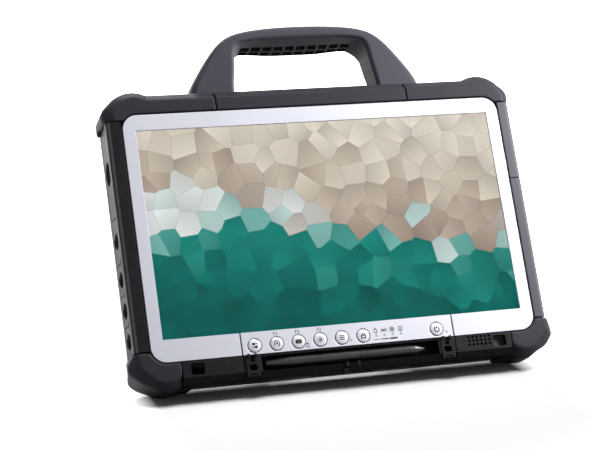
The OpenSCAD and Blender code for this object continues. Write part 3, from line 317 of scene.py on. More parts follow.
class Pattern(Bench):
    """A Geometry Nodes tree with named inputs."""

    def __init__(self, name, inputs):
        super().__init__(bpy.data.node_groups.new(name, "GeometryNodeTree"))
        self.tree.interface.new_socket("Geometry", in_out="OUTPUT", socket_type="NodeSocketGeometry")
        self.sockets = {}
        for key, value in inputs.items():
            kind = "NodeSocketInt" if isinstance(value, int) else "NodeSocketFloat"
            socket = self.tree.interface.new_socket(key, in_out="INPUT", socket_type=kind)
            self.sockets[key] = socket.identifier
        self.values = inputs
        self.given = self.tree.nodes.new("NodeGroupInput")

    def __getitem__(self, key):
        return Wire(self, self.given.outputs[key])

    def triple(self, x=0.0, y=0.0, z=0.0):
        return self.node("ShaderNodeCombineXYZ", None, {"X": x, "Y": y, "Z": z})

    def repeat(self, points, instance):
        return self.node("GeometryNodeInstanceOnPoints", None, {"Points": points, "Instance": instance})

    def mesh(self, geometry, finish):
        """Ends the tree and gives its result as a plain mesh."""
        real = self.node("GeometryNodeRealizeInstances", None, {"Geometry": geometry})
        dressed = self.node("GeometryNodeSetMaterial", None, {"Geometry": real, "Material": finish.material})
        end = self.tree.nodes.new("NodeGroupOutput")
        self.tree.links.new(dressed.socket, end.inputs["Geometry"])
        holder = bpy.data.objects.new("holder", bpy.data.meshes.new("holder"))
        scene.collection.objects.link(holder)
        nodes = holder.modifiers.new("nodes", "NODES")
        nodes.node_group = self.tree
        for key, value in self.values.items():
            nodes[self.sockets[key]] = value
        made = plain_mesh(holder)
        bpy.data.objects.remove(holder)
        return made


def tool(name, mesh, turn):
    """A cutter made of a mesh, put in its place."""
    mesh.transform(turn)
    made = bpy.data.objects.new(name, mesh)
    scene.collection.objects.link(made)
    return made


def upright(finish):
    """Coordinates of the tablet before it leans back, in metres from mid screen."""
    place = finish.node("ShaderNodeTexCoord", output="Object")
    return finish.node("ShaderNodeMapping", {"vector_type": "TEXTURE"},
                       {"Vector": place, "Location": LEAN.translation, "Rotation": LEAN.to_euler()})


def part_of(finish, vector, axis):
    """One of the three numbers of a vector."""
    return finish.node("ShaderNodeSeparateXYZ", None, {0: vector}, axis)


def repaint(piece, finish, picked):
    """Gives another finish to the faces that a rule picks by their place, in millimetres, and direction."""
    piece.data.materials.append(finish.material)
    for face in piece.data.polygons:
        if picked(TO_MM @ face.center, (TO_MM.to_3x3() @ face.normal).normalized()):
            face.material_index = len(piece.data.materials) - 1


cast = moulded("cast_charcoal", (0.006, 0.006, 0.007), rough=0.45, grain=0.0005, depth=0.00004,
               fixed={"Specular IOR Level": 0.06})
rail_x = 166.2
rail_chamfer = 3.2
chamfer_facing = -0.3
# Painted highlight: the chamfer of the left rail gets a paler, mottled band of colour where it would catch
# the light.
rail_highlight = Finish("polished_rail", {"Roughness": 0.40, "Specular IOR Level": 0.15})
rail_place = upright(rail_highlight)
across_rail = (-1000 * part_of(rail_highlight, rail_place, "X") - rail_x) / rail_chamfer
highlight_mottle = rail_highlight.node("ShaderNodeTexNoise", None, {"Vector": rail_place, "Scale": 60.0, "Detail": 4.0})
band = rail_highlight.ramp(across_rail, 0.02, 0.30) * rail_highlight.ramp(across_rail, 0.75, 0.45)
painted_highlight_band = band * (0.6 + 0.6 * highlight_mottle)
rail_highlight.feed(rail_highlight.shader, {"Base Color": rail_highlight.mix(painted_highlight_band, (0.006, 0.006, 0.007, 1),
                                                           (0.075, 0.073, 0.082, 1))})
front_shell = skin("front_frame", cast, edge=0.0004)
repaint(front_shell, rail_highlight, lambda at, facing: at.x < -rail_x and at.y < rail_chamfer
        and max(facing.x, facing.y) < chamfer_facing)
slot_count = 15
slot_pitch = 6.2
slots_y = 45
slots_z = 48
slots = Pattern("cooling_slots", {"Count": slot_count, "Pitch": slot_pitch, "Width": 2.4, "Height": 24.0,
                                  "Depth": 2.6})
slot = slots.node("GeometryNodeMeshCube", None,
                  {"Size": slots.triple(slots["Width"], slots["Depth"], slots["Height"])})
slot_row = slots.node("GeometryNodeMeshLine", {"mode": "OFFSET"},
                      {"Count": slots["Count"], "Offset": slots.triple(slots["Pitch"])})
slots_at = ((1 - slot_count) / 2 * slot_pitch, slots_y, slots_z)
slots_tool = tool("slots_tool", slots.mesh(slots.repeat(slot_row, slot), cast),
                  FROM_MM @ Matrix.Translation(slots_at))
rear_shell = skin("rear_cover", cast, edge=0.0005, cutter=slots_tool)
bpy.data.objects.remove(slots_tool)

# Corner and top guards
# Five elastomer pads moulded over the edges of the case, the lower two thick enough to stand on.
# The rubber is dull charcoal with a slight violet tint and large soft edges, and its corners are
# fullest at the sides of the upper pads and under the lower ones.
rubber = moulded("guard_rubber", (0.012, 0.011, 0.015), rough=0.56, grain=0.0007, depth=0.00005,
                 fixed={"Specular IOR Level": 0.10})
skin("guard_top_centre", rubber, edge=0.0009, segments=3)
guard_grid = 0.8
GUARD_PASSES = {"guard_top_left": 10, "guard_top_right": 4, "guard_bottom_left": 24, "guard_bottom_right": 24}
low_corner = (Vector((147.4, -99.4)), 23)
top_corner = (Vector((145.7, 92.4)), 24.5)
swell_front_y = 6
swell_rear_y = 26
still_share = 0.6
moved_share = 0.9


def share_between(value, low, high):
    """How far a value lies on the way from low to high, held between 0 and 1."""
    return min(max((value - low) / (high - low), 0), 1)


def swell_corner(mesh, corner, swell_front, swell_rear, angle, reach):
    """Swells a corner most at one angle from the side, and up to a reach to both sides of it."""
    middle, corner_r = corner
    for point in mesh.vertices:
        depth = share_between(point.co.y, swell_front_y, swell_rear_y)
        swell = swell_front + (swell_rear - swell_front) * depth
        out = Vector((abs(point.co.x), point.co.z)) - middle
        turn = (math.degrees(math.atan2(out.y, out.x)) - angle) / reach
        outer = share_between(out.length / corner_r, still_share, moved_share)
        if abs(turn) < 1 and outer > 0:
            out = middle + out * (1 + swell * outer / corner_r * math.cos(turn * math.pi / 2) ** 2)
            point.co.x = math.copysign(out.x, point.co.x)
            point.co.z = out.y


def soft_skin(node, finish, passes):
    """A copy of a CAD node with every edge melted round, as on a soft moulding."""
    mesh = frame["nodes"][node].data.copy()
    mesh.transform(TO_MM)
    mesh.materials.clear()
    mesh.materials.append(finish.material)
    piece = bpy.data.objects.new(node + "_skin", mesh)
    scene.collection.objects.link(piece)
    grid = piece.modifiers.new("grid", "REMESH")
    grid.mode = "VOXEL"
    grid.voxel_size = guard_grid
    melt = piece.modifiers.new("melt", "SMOOTH")
    melt.iterations = passes
    settle(piece, sharp=70)
    if "bottom" in node:
        swell_corner(piece.data, low_corner, swell_front=2.1, swell_rear=2.1, angle=-36, reach=34)
    else:
        swell_corner(piece.data, top_corner, swell_front=2.2, swell_rear=0.2, angle=16, reach=28)
        swell_corner(piece.data, top_corner, swell_front=0, swell_rear=-1.3, angle=58, reach=34)
    piece.data.transform(FROM_MM)
    for point in piece.data.vertices:
        point.co.x = min(max(point.co.x, cad_box[0][0]), cad_box[1][0])
        point.co.z = max(point.co.z, cad_box[0][2])
    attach(piece, BODIES[node])
    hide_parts(node)


for node, passes in GUARD_PASSES.items():
    soft_skin(node, rubber, passes)

# Carry handle
# One arched moulding of glass-filled nylon, screwed to the case through openings in the top guards.
# The rear half of the grip is cored out from below, which leaves a lattice of thin ribs under the fingers.
handle_outer = [(98, 104.4), (97, 115.8), (86.5, 133), (70, 155.5), (54, 164.5), (22, 167.9), (0, 167.9)]
handle_inner = [(60.5, 104.4), (60.5, 116.8), (57.5, 133.9), (55.5, 153.9), (42.5, 156.4), (20, 156.9),
                (0, 156.9)]
handle_front = 8
leg_depth = 25
grip_depth = 30
grip_drop = 5.6
drop_from = 0.6
drop_full = 0.8
outer_round = 5.5
inner_round = 3.5
least_flat = 0.3
steps_along = 12
steps_round = 6


def led_curve(points, steps):
    """A smooth curve led by the points, from the first to the last, in pieces of equal steps."""
    points = [Vector(p) for p in points]
    made = []
    for i in range(len(points) - 2):
        start = points[0] if i == 0 else (points[i] + points[i + 1]) / 2
        stop = points[-1] if i == len(points) - 3 else (points[i + 1] + points[i + 2]) / 2
        for k in range(steps):
            f = k / steps
            made.append((1 - f) ** 2 * start + 2 * f * (1 - f) * points[i + 1] + f * f * stop)
    return made + [points[-1]]


def arch(points):
    """The curve of one half of the handle and its mirror image, as one line from leg to leg."""
    half = led_curve(points, steps_along)
    return half + [Vector((-p.x, p.y)) for p in reversed(half[:-1])]


def bow_section(out, inn, rear, drop):
    """Ring of points round the handle between its outer and its inner edge, with round corners."""
    wide = (out - inn).length
    away = (out - inn) / wide
    big = min(outer_round, wide / 2 - least_flat)
    small = min(inner_round, wide / 2 - least_flat)
    corners = [(wide - big, handle_front + big, big, -90), (wide - big, rear - big, big, 0),
               (small - drop, rear - small, small, 90), (small, handle_front + small, small, 180)]
    ring = []
    for along, depth, r, turn in corners:
        for k in range(steps_round + 1):
            a = math.radians(turn + 90 * k / steps_round)
            flat = inn + away * (along + r * math.cos(a))
            ring.append((flat.x, depth + r * math.sin(a), flat.y))
    return ring


outer_arch = arch(handle_outer)
inner_arch = arch(handle_inner)
base_z = handle_outer[0][1]
top_z = handle_outer[-1][1]
rings = []
for out, inn in zip(outer_arch, inner_arch):
    rise = (out.y - base_z) / (top_z - base_z)
    rear = handle_front + leg_depth + (grip_depth - leg_depth) * rise
    rings.append(bow_section(out, inn, rear, grip_drop * share_between(rise, drop_from, drop_full)))
count = len(rings[0])
bow_points = [p for ring in rings for p in ring]
bow_faces = []
for i in range(len(rings) - 1):
    for k in range(count):
        n = (k + 1) % count
        bow_faces.append((i * count + k, i * count + n, (i + 1) * count + n, (i + 1) * count + k))
bow_faces.append(tuple(range(count - 1, -1, -1)))
bow_faces.append(tuple((len(rings) - 1) * count + k for k in range(count)))
bow_mesh = bpy.data.meshes.new("carry_bow")
bow_mesh.from_pydata(bow_points, [], bow_faces)
nylon = moulded("handle_nylon", (0.029, 0.027, 0.035), rough=0.54, grain=0.0006, depth=0.00004,
                fixed={"Specular IOR Level": 0.10})
bow_mesh.materials.append(nylon.material)
bow = bpy.data.objects.new("carry_bow", bow_mesh)
scene.collection.objects.link(bow)

lattice_half = 47
cells_along = 10
rib = 1.6
cell_pitch = (2 * lattice_half + rib) / cells_along
solid_share = 0.46
rear_wall = 2.2
row_front = handle_front + grip_depth * solid_share
row_deep = (handle_front + grip_depth - rear_wall - row_front - rib) / 2
cell_tall = 15.1
grip_skin = 5.5
coring = Pattern("grip_cores", {"Cells": cells_along, "Pitch": cell_pitch, "Rib": rib, "Depth": row_deep,
                                "Height": cell_tall})
core = coring.node("GeometryNodeMeshCube", None, {"Size": coring.triple(coring["Pitch"] - coring["Rib"],
                                                                        coring["Depth"], coring["Height"])})
row = coring.node("GeometryNodeMeshLine", {"mode": "OFFSET"},
                  {"Count": coring["Cells"], "Offset": coring.triple(coring["Pitch"])})
pair = coring.node("GeometryNodeMeshLine", {"mode": "OFFSET"},
                   {"Count": 2, "Offset": coring.triple(0.0, coring["Depth"] + coring["Rib"])})
cores_at = ((cell_pitch - rib) / 2 - lattice_half, row_front + row_deep / 2,
            top_z - grip_skin - cell_tall / 2)
cores = tool("cores", coring.mesh(coring.repeat(pair, coring.repeat(row, core)), nylon),
             Matrix.Translation(cores_at))
cut(bow, cores)
round_edges(bow, width=0.25, sharp=50)
settle(bow, sharp=40)
bpy.data.objects.remove(cores)
bow.data.transform(FROM_MM)
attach(bow, "case")
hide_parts("carry_handle")

# Bezel and key panel
# Two flat pressings in satin silver paint, the small one under the screen carrying the keys.
# They are clipped into the front frame with a dark shadow gap all round, and the panel's ends are drawn
# in a little, which opens the seams beside it.
silver = moulded("silver_paint", (0.365, 0.37, 0.412), rough=0.42, grain=0.0003, depth=0.000010,
                 fixed={"Metallic": 0.15, "Specular IOR Level": 0.3}, worn=0.0, patch=0.025)
skin("front_bezel", silver, edge=0.00035)
panel = skin("button_panel", silver, edge=0.00025)
panel_half = 87
panel_trim = 0.5
for point in panel.data.vertices:
    place = TO_MM @ point.co
    if abs(place.x) > panel_half - 2 * panel_trim:
        place.x -= math.copysign(panel_trim, place.x)
        point.co = FROM_MM @ place

# Display
# A lit panel behind clear coated touch glass, with a foam gasket between the glass and the bezel.
# It shows a plain mosaic of tilted facets that goes from pale beige to deep green.
screen_h = 0.1654
facet_size = 0.017
MOSAIC = [(0.0, (0.001, 0.105, 0.090, 1)), (0.22, (0.002, 0.165, 0.138, 1)), (0.36, (0.008, 0.240, 0.195, 1)),
          (0.44, (0.16, 0.42, 0.38, 1)), (0.50, (0.70, 0.76, 0.75, 1)), (0.56, (0.38, 0.30, 0.24, 1)),
          (0.68, (0.49, 0.41, 0.33, 1)), (0.80, (0.62, 0.56, 0.46, 1)), (1.0, (0.72, 0.66, 0.57, 1))]
picture = Finish("display_picture", {"Base Color": (0.002, 0.002, 0.002, 1), "Roughness": 0.5,
                                     "Specular IOR Level": 0.0, "Emission Strength": 0.95})
square_on = upright(picture)
flat = picture.node("ShaderNodeCombineXYZ", None, {"X": part_of(picture, square_on, "X"),
                                                   "Y": part_of(picture, square_on, "Z")})
facets = {"voronoi_dimensions": "2D", "feature": "F1"}
facet_form = {"Vector": flat, "Scale": 1 / facet_size, "Randomness": 0.85}
middle = picture.node("ShaderNodeTexVoronoi", facets, facet_form, "Position")
chance = picture.node("ShaderNodeTexVoronoi", facets, facet_form, "Color")
tilt = picture.node("ShaderNodeVectorMath", {"operation": "SUBTRACT"}, {0: chance, 1: (0.5, 0.5, 0.5)})
reach = picture.node("ShaderNodeVectorMath", {"operation": "SUBTRACT"}, {0: flat, 1: middle})
slope = picture.node("ShaderNodeVectorMath", {"operation": "DOT_PRODUCT"}, {0: tilt, 1: reach}, "Value")
colour_slope = 0.9
colour_scatter = 0.24
level = 0.5 + part_of(picture, middle, "Y") / screen_h + part_of(picture, middle, "X") * colour_slope
level = level + colour_scatter * (part_of(picture, chance, "Z") - 0.5)
shown = picture.node("ShaderNodeValToRGB", {"stops": MOSAIC}, {"Fac": level})
joint = picture.node("ShaderNodeTexVoronoi", {"voronoi_dimensions": "2D", "feature": "DISTANCE_TO_EDGE"},
                     facet_form, "Distance")
paper = picture.node("ShaderNodeTexNoise", None, {"Vector": flat, "Scale": 900.0, "Detail": 3.0})
tilt_shine = 34
paper_shine = 0.28
shine = 1 - paper_shine / 2 + tilt_shine * slope + paper_shine * paper
shine = shine * picture.ramp(joint, 0.0, 0.03, 0.80, 1.0)
shown = picture.mix(1.0, shown, picture.node("ShaderNodeCombineColor", None, {0: shine, 1: shine, 2: shine}),
                    "MULTIPLY")
picture.feed(picture.shader, {"Emission Color": shown})


def wear(node, finish):
    """Gives a CAD node that keeps its own shape its finish."""
    for holder in frame["nodes"][node].material_slots:
        holder.material = finish.material


wear("lcd_panel", picture)
glass = Finish("touch_glass", {"Base Color": (1, 1, 1, 1), "Roughness": 0.03, "IOR": 1.08,
                               "Transmission Weight": 1.0})
wear("touch_glass", glass)
foam = moulded("gasket_foam", (0.012, 0.012, 0.012), rough=0.85, grain=0.0004, depth=0.00005, worn=0.0)
wear("display_gasket", foam)

# Front keys
# Seven round caps of silver plastic with a low dome, each over a rubber switch in a dished hole.
# Their signs are printed in dark ink, and so are the plain names above three of them.
row_keys = 6
first_key_x = -76.5
key_pitch = 17.6
power_key_x = 72.8
KEY_NODES = ["key_%d" % (i + 1) for i in range(row_keys)] + ["power_button"]
KEY_X = [first_key_x + key_pitch * i for i in range(row_keys)] + [power_key_x]
key_z = -93.4
key_r = 5.0
key_dome = 0.9
print_gap = 0.02
print_step = 0.5
cap = moulded("key_silver", (0.46, 0.46, 0.50), rough=0.26, grain=0.0003, depth=0.000006,
              fixed={"Metallic": 0.25, "Coat Weight": 0.1}, worn=0.0, patch=0.03)
ink = moulded("printed_ink", (0.010, 0.010, 0.011), rough=0.6, grain=0.0003, depth=0.000004,
              fixed={"Specular IOR Level": 0.1}, worn=0.0)


def arc(x, z, r, start=0, stop=360, steps=20):
    """Points on a circle or on a part of it."""
    angles = [math.radians(start + (stop - start) * i / steps) for i in range(steps + 1)]
    return [(x + r * math.cos(a), z + r * math.sin(a)) for a in angles]


def frame_line(x0, z0, x1, z1):
    """The corners of a rectangle, back to its first one."""
    return [(x0, z0), (x1, z0), (x1, z1), (x0, z1), (x0, z0)]


def printed(name, body, strokes, surface):
    """Thin printed lines: each stroke is a width and the points it runs through, laid on the surface."""
    points = []
    faces = []
    for width, corners in strokes:
        path = [Vector(corners[0])]
        for a, b in zip(corners, corners[1:]):
            parts = math.ceil((Vector(b) - Vector(a)).length / print_step)
            path += [Vector(a).lerp(Vector(b), k / parts) for k in range(1, parts + 1)]
        closed = (path[0] - path[-1]).length < 1e-6
        first = len(points)
        for i, p in enumerate(path):
            before = path[i - 1] if i > 0 else (path[-2] if closed else p)
            after = path[i + 1] if i < len(path) - 1 else (path[1] if closed else p)
            run = (after - before).normalized()
            side = Vector((-run.y, run.x)) * width / 2
            for q in (p + side, p - side):
                points.append((q.x, surface(q.x, q.y), q.y))
        for i in range(len(path) - 1):
            k = first + 2 * i
            faces.append((k, k + 1, k + 3, k + 2))
    mesh = bpy.data.meshes.new(name)
    mesh.from_pydata(points, [], faces)
    mesh.materials.append(ink.material)
    piece = bpy.data.objects.new(name, mesh)
    scene.collection.objects.link(piece)
    coat = piece.modifiers.new("coat", "SOLIDIFY")
    coat.thickness = 2 * print_gap
    coat.offset = -1
    settle(piece, sharp=40)
    piece.data.transform(FROM_MM)
    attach(piece, body)


sun_ray = 0.6
ray_start = 1.7
ray_end = 2.6
sun_rays = [(sun_ray, [(r * math.cos(a), r * math.sin(a)) for r in (ray_start, ray_end)])
            for a in [i * math.pi / 4 for i in range(8)]]
KEY_SIGNS = [
    [(0.7, [(-2.3, 1.2), (2.3, 1.2)]), (0.7, [(-2.3, -1.2), (2.3, -1.2)]), (1.1, arc(-0.8, 1.2, 0.55)),
     (1.1, arc(0.9, -1.2, 0.55))],
    [(0.7, arc(0, 0, 2.1, -40, 230)), (0.7, [(0.9, -2.3), (1.5, -1.3), (2.6, -1.8)]), (0.8, arc(0, 0, 0.5))],
    [(1.1, frame_line(-2.0, -1.1, 2.0, 1.1)), (0.9, [(-1.6, 0), (1.6, 0)])],
    [(0.9, arc(0, 0, 0.8))] + sun_rays,
    [(0.7, [(-1.9, 1.4), (1.9, 1.4)]), (0.7, [(-1.9, 0), (1.9, 0)]), (0.7, [(-1.9, -1.4), (1.9, -1.4)])],
    [(0.8, frame_line(-1.7, -1.9, 1.7, 0.3)), (0.65, arc(0, 0.4, 1.2, 0, 180))],
    [(0.9, arc(0, -0.2, 2.0, 125, 415)), (0.9, [(0, 0.3), (0, 2.4)])],
]
for node, x, signs in zip(KEY_NODES, KEY_X, KEY_SIGNS):
    skin(node, cap, edge=0.0002, sharp=40)

    def dome(px, pz, middle=x):
        off = ((px - middle) ** 2 + (pz - key_z) ** 2) / key_r ** 2
        return -key_dome * math.sqrt(max(0.0, 1 - off)) - print_gap

    moved = [(width, [(px + x, pz + key_z) for px, pz in path]) for width, path in signs]
    printed(node + "_sign", BODIES[node], moved, dome)
number_z = -85.6
number_size = 4.0
for number, x in zip(("F1", "F2", "F3"), KEY_X[1:4]):
    letter = bpy.data.curves.new("number_" + number.lower(), "FONT")
    letter.body = number
    letter.size = number_size
    letter.align_x = "CENTER"
    letter.align_y = "CENTER"
    letter.extrude = print_gap
    holder = bpy.data.objects.new("number_" + number.lower(), letter)
    scene.collection.objects.link(holder)
    mesh = plain_mesh(holder)
    bpy.data.objects.remove(holder)
    outline = bmesh.new()
    outline.from_mesh(mesh)
    bmesh.ops.remove_doubles(outline, verts=outline.verts, dist=2e-6)
    outline.to_mesh(mesh)
    outline.free()
    mesh.transform(FROM_MM @ Matrix.Translation((x, 0, number_z)) @ Matrix.Rotation(math.pi / 2, 4, "X"))
    mesh.materials.clear()
    mesh.materials.append(ink.material)
    piece = bpy.data.objects.new("key_number_" + number.lower(), mesh)
    scene.collection.objects.link(piece)
    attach(piece, "case")

# Status lights
# Six clear light pipes pressed into the key panel, flush with its face.
# Small signs for charge, signal, drive and card are printed over four of them, with a level scale
# below, and one more charge sign stands beside the third key.
first_light_x = 22.06
light_pitch = 6.9
sign_z = -90.2
scale_z = -97.3
charge, signal, drive, card = [first_light_x + light_pitch * i for i in range(4)]
panel_signs = [
    (0.5, frame_line(charge - 1.0, sign_z - 1.7, charge + 1.0, sign_z + 1.0)),
    (0.7, [(charge - 0.5, sign_z + 1.5), (charge + 0.5, sign_z + 1.5)]),
    (0.7, arc(signal, sign_z - 0.2, 0.35)),
    (0.5, arc(signal, sign_z - 0.2, 1.2, -50, 50)), (0.5, arc(signal, sign_z - 0.2, 1.2, 130, 230)),
    (0.5, arc(signal, sign_z - 0.2, 2.1, -45, 45)), (0.5, arc(signal, sign_z - 0.2, 2.1, 135, 225)),
    (0.6, arc(drive, sign_z, 1.7)), (0.7, arc(drive, sign_z, 0.5)),
    (0.5, [(card - 1.4, sign_z - 1.7), (card + 1.4, sign_z - 1.7), (card + 1.4, sign_z + 0.9),
           (card + 0.6, sign_z + 1.7), (card - 1.4, sign_z + 1.7), (card - 1.4, sign_z - 1.7)]),
    (0.45, [(card - 0.7, sign_z + 0.3), (card + 0.7, sign_z + 0.3)]),
    (0.45, [(card - 0.7, sign_z - 0.7), (card + 0.7, sign_z - 0.7)]),
    (0.5, frame_line(-35.2, -98.3, -33.4, -95.4)), (0.6, [(-34.7, -95.0), (-33.9, -95.0)])]
for width, x0, x1 in ((0.4, 20.2, 25.6), (0.8, 26.4, 32.4), (1.3, 33.2, 39.4)):
    panel_signs.append((width, [(x0, scale_z), (x1, scale_z)]))
printed("panel_signs", "case", panel_signs, lambda x, z: -print_gap)
pipe = Finish("light_pipe", {"Roughness": 0.2, "Coat Weight": 0.6})
pipe_place = pipe.node("ShaderNodeTexCoord", output="Object")
pipe_haze = pipe.node("ShaderNodeTexNoise", None, {"Vector": pipe_place, "Scale": 1500.0})
pipe.feed(pipe.shader, {"Base Color": pipe.mix(pipe_haze, (0.16, 0.18, 0.17, 1), (0.30, 0.32, 0.30, 1))})
wear("led_lenses", pipe)

# Side doors and battery
# Hinged plastic doors over the ports on the left, a card door and the battery's end cap on the right.
# They are moulded in satin grey plastic, darker on the right, and each left door has a deep finger cup whose
# inside is near black, partly dark plastic and partly painted shade. The edge of the rear cover behind the
# left doors has the grey of these doors.
satin = moulded("door_plastic", (0.065, 0.0635, 0.069), rough=0.42, grain=0.0005, depth=0.000025,
                fixed={"Specular IOR Level": 0.03})
black = moulded("black_plastic", (0.006, 0.006, 0.007), rough=0.50, grain=0.0005, depth=0.00003,
                fixed={"Specular IOR Level": 0.06})
door_face_x = -168.5
cup_middle_y = 18.9
cup_half = 7.2
cup_lip = 0.12
cup_depth = 3.6
door_rear_y = 27.2
edge_strip_round = 0.6
for number in range(1, 6):
    door = skin("port_cover_%d" % number, satin, edge=0.0003)
    # The inside of each finger cup is coloured near black: partly the cup's dark plastic, partly painted
    # shade of the deep cup.
    repaint(door, black, lambda at, facing: cup_lip < at.x - door_face_x < cup_depth and facing.x < 0
            and abs(at.y - cup_middle_y) < cup_half)
repaint(rear_shell, satin, lambda at, facing: at.x < door_face_x + edge_strip_round and at.y > door_rear_y)
side = moulded("side_plastic", (0.040, 0.038, 0.046), rough=0.45, grain=0.0005, depth=0.000025,
               fixed={"Specular IOR Level": 0.12})
skin("card_door", side, edge=0.0004)
skin("battery_pack", side, edge=0.0004)
skin("battery_latch", black, edge=0.0002)

# Lower covers, pen tray and speaker
# Black mouldings set in along the lower edge: a strap pocket with a grey floor at each end and the pen
# tray between. The right one has a sound grille with the speaker behind it, and the dock socket is in
# the underside.
deep = moulded("tray_plastic", (0.006, 0.006, 0.007), rough=0.48, grain=0.0006, depth=0.00004,
               fixed={"Specular IOR Level": 0.06})
for node in ("pen_tray", "dock_connector"):
    skin(node, deep, edge=0.0003)
strap_floor_y = 5.0
floor_band = 0.5
floor_facing = -0.9
strap_pocket_low = -112
for node in ("lower_left_cover", "lower_right_cover"):
    lower_cover = skin(node, deep, edge=0.0003)
    repaint(lower_cover, side, lambda at, facing: abs(at.y - strap_floor_y) < floor_band
            and facing.y < floor_facing and at.z > strap_pocket_low)
wear("speaker", black)

# Pen
# A passive pen of black plastic that lies in its tray, with a tapered tail and a hard black point.
# Its rocker button is a separate moulding snapped into the barrel.
barrel = moulded("pen_black", (0.014, 0.014, 0.016), rough=0.33, grain=0.0006, depth=0.00001,
                 fixed={"Specular IOR Level": 0.3})
for node in ("stylus_barrel", "stylus_button", "stylus_tip"):
    skin(node, barrel, edge=0.00015)

# Stand and feet
# A pressed aluminium frame that turns on two steel pins in the rear cover, painted as the case is.
# Its sole and the four pads on the back are moulded rubber.
skin("kickstand", cast, edge=0.0004)
sole = moulded("foot_rubber", (0.020, 0.020, 0.021), rough=0.75, grain=0.0008, depth=0.00006,
               fixed={"Specular IOR Level": 0.25})
skin("kickstand_foot", sole, edge=0.0004)
skin("back_feet", sole, edge=0.0004)

# Screws and pins
# Cross-slotted steel screws close the case from the back and hold the main board to its posts.
# Bright steel pins carry the doors and the stand, and plain steel screws hold the handle.
case_screw_y = 41
board_screw_y = 16.6
CASE_SCREWS = [(-128, 76), (37.37, 76), (105, 76), (-128, -92.5), (-80, -92.5), (105, -92.5)]
BOARD_SCREWS = [(-131.5, 6), (-131.5, 84.4), (57.5, 6), (57.5, 84.4)]
head_taper = 0.86
slot_share = 0.28
cross_share = 1.15
steel = moulded("screw_steel", (0.50, 0.50, 0.52), rough=0.28, grain=0.0008, depth=0.00001,
                fixed={"Metallic": 1.0}, worn=0.0)


def screws(name, at, head_y, head_r, head_t, shank_r, shank_len):
    """A set of screws whose heads start at head_y, with a cross slot in each head."""
    making = Pattern(name, {"Head radius": head_r, "Head height": head_t, "Shank radius": shank_r,
                            "Shank length": shank_len, "Slot width": slot_share * head_r})
    size = {"Vertices": 40, "Side Segments": 1, "Fill Segments": 1}
    head = making.node("GeometryNodeMeshCone", None, {**size, "Depth": making["Head height"],
                                                      "Radius Top": making["Head radius"] * head_taper,
                                                      "Radius Bottom": making["Head radius"]})
    shank = making.node("GeometryNodeMeshCylinder", None, {**size, "Radius": making["Shank radius"],
                                                           "Depth": making["Shank length"]}, "Mesh")
    half_down = making.triple(0.0, 0.0, making["Shank length"] * -0.5)
    shank = making.node("GeometryNodeTransform", None, {"Geometry": shank, "Translation": half_down})
    wide = making["Head radius"] * cross_share
    head_up = making.triple(0.0, 0.0, making["Head height"])
    bars = making.node("GeometryNodeJoinGeometry")
    for x, y in ((wide, making["Slot width"]), (making["Slot width"], wide)):
        block = making.node("GeometryNodeMeshCube", None,
                            {"Size": making.triple(x, y, making["Head height"])}, "Mesh")
        lifted = making.node("GeometryNodeTransform", None, {"Geometry": block, "Translation": head_up})
        making.tree.links.new(lifted.socket, bars.socket.node.inputs["Geometry"])
    slotted = making.node("GeometryNodeMeshBoolean", {"operation": "DIFFERENCE", "solver": "EXACT"},
                          {"Mesh 1": head}, "Mesh")
    making.tree.links.new(bars.socket, slotted.socket.node.inputs["Mesh 2"])
    screw = making.node("GeometryNodeJoinGeometry", None, {"Geometry": slotted})
    making.tree.links.new(shank.socket, screw.socket.node.inputs["Geometry"])
    upright_screw = making.node("GeometryNodeTransform", None,
                                {"Geometry": screw, "Rotation": (-math.pi / 2, 0, 0)})
    places = making.node("GeometryNodeJoinGeometry")
    for x, z in at:
        spot = making.node("GeometryNodePoints", None, {"Count": 1, "Position": (x, head_y, z)})
        making.tree.links.new(spot.socket, places.socket.node.inputs["Geometry"])
    return making.mesh(making.repeat(places, upright_screw), steel)


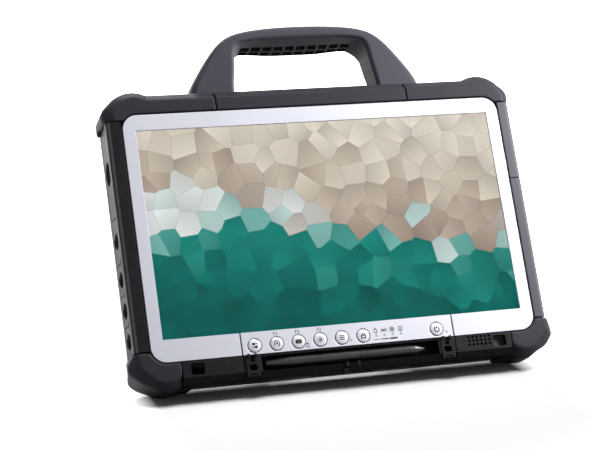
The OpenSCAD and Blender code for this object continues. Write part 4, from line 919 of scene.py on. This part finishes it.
fasteners = bmesh.new()
fasteners.from_mesh(screws("case_screw_set", CASE_SCREWS, case_screw_y, head_r=3.0, head_t=2.0,
                           shank_r=1.5, shank_len=31.0))
fasteners.from_mesh(screws("board_screw_set", BOARD_SCREWS, board_screw_y, head_r=2.8, head_t=1.6,
                           shank_r=1.45, shank_len=4.8))
fastener_mesh = bpy.data.meshes.new("screw_set")
fasteners.to_mesh(fastener_mesh)
fasteners.free()
fastener_mesh.materials.clear()
fastener_mesh.materials.append(steel.material)
fastener_mesh.transform(FROM_MM)
fastener_set = bpy.data.objects.new("screw_set", fastener_mesh)
scene.collection.objects.link(fastener_set)
round_edges(fastener_set, width=0.00012, sharp=30)
settle(fastener_set, sharp=40)
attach(fastener_set, "case")
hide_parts("case_screws")
for node in ("cover_pins", "card_door_pin", "kickstand_pins", "handle_screws"):
    wear(node, steel)

# Boards and cards
# Glass-fibre boards with green solder mask, screwed or plugged in behind the display.
# Copper tracks show as paler lines under the mask.
track_size = 0.0035
board = Finish("board_green", {"Specular IOR Level": 0.5})
lie = upright(board)
run = board.node("ShaderNodeTexVoronoi", {"feature": "DISTANCE_TO_EDGE", "voronoi_dimensions": "3D"},
                 {"Vector": lie, "Scale": 1 / track_size, "Randomness": 0.55}, "Distance")
patch = board.node("ShaderNodeTexNoise", None, {"Vector": lie, "Scale": 90.0, "Detail": 3.0})
track = board.ramp(run, 0.05, 0.09, 1.0, 0.0)
mask = board.mix(track, (0.010, 0.075, 0.030, 1), (0.030, 0.150, 0.060, 1))
mask = board.mix(board.ramp(patch, 0.58, 0.62), mask, (0.015, 0.10, 0.04, 1))
ridge = board.node("ShaderNodeBump", None, {"Distance": 0.00003, "Height": track})
board.feed(board.shader, {"Base Color": mask, "Roughness": 0.30 + 0.15 * patch, "Normal": ridge})
for node in ("mainboard", "memory_module", "wireless_card", "button_board"):
    wear(node, board)

# Metal housings
# Pressed steel shells of the connectors and card cages, the drive's case, the finned heat spreader
# and the coin cell, all in bare metal with a fine drawn grain.
bare = Finish("bare_metal", {"Metallic": 1.0})
drawn = bare.node("ShaderNodeMapping", None, {"Vector": upright(bare), "Scale": (40, 900, 900)})
grain = bare.node("ShaderNodeTexNoise", None, {"Vector": drawn, "Scale": 1.5, "Detail": 4.0})
scratch = bare.node("ShaderNodeBump", None, {"Distance": 0.00001, "Height": grain})
bare.feed(bare.shader, {"Base Color": bare.mix(grain, (0.48, 0.48, 0.49, 1), (0.66, 0.66, 0.66, 1)),
                        "Roughness": 0.24 + 0.2 * grain, "Normal": scratch})
for node in ("heat_spreader", "storage_drive", "coin_cell", "io_connectors", "card_slots"):
    wear(node, bare)
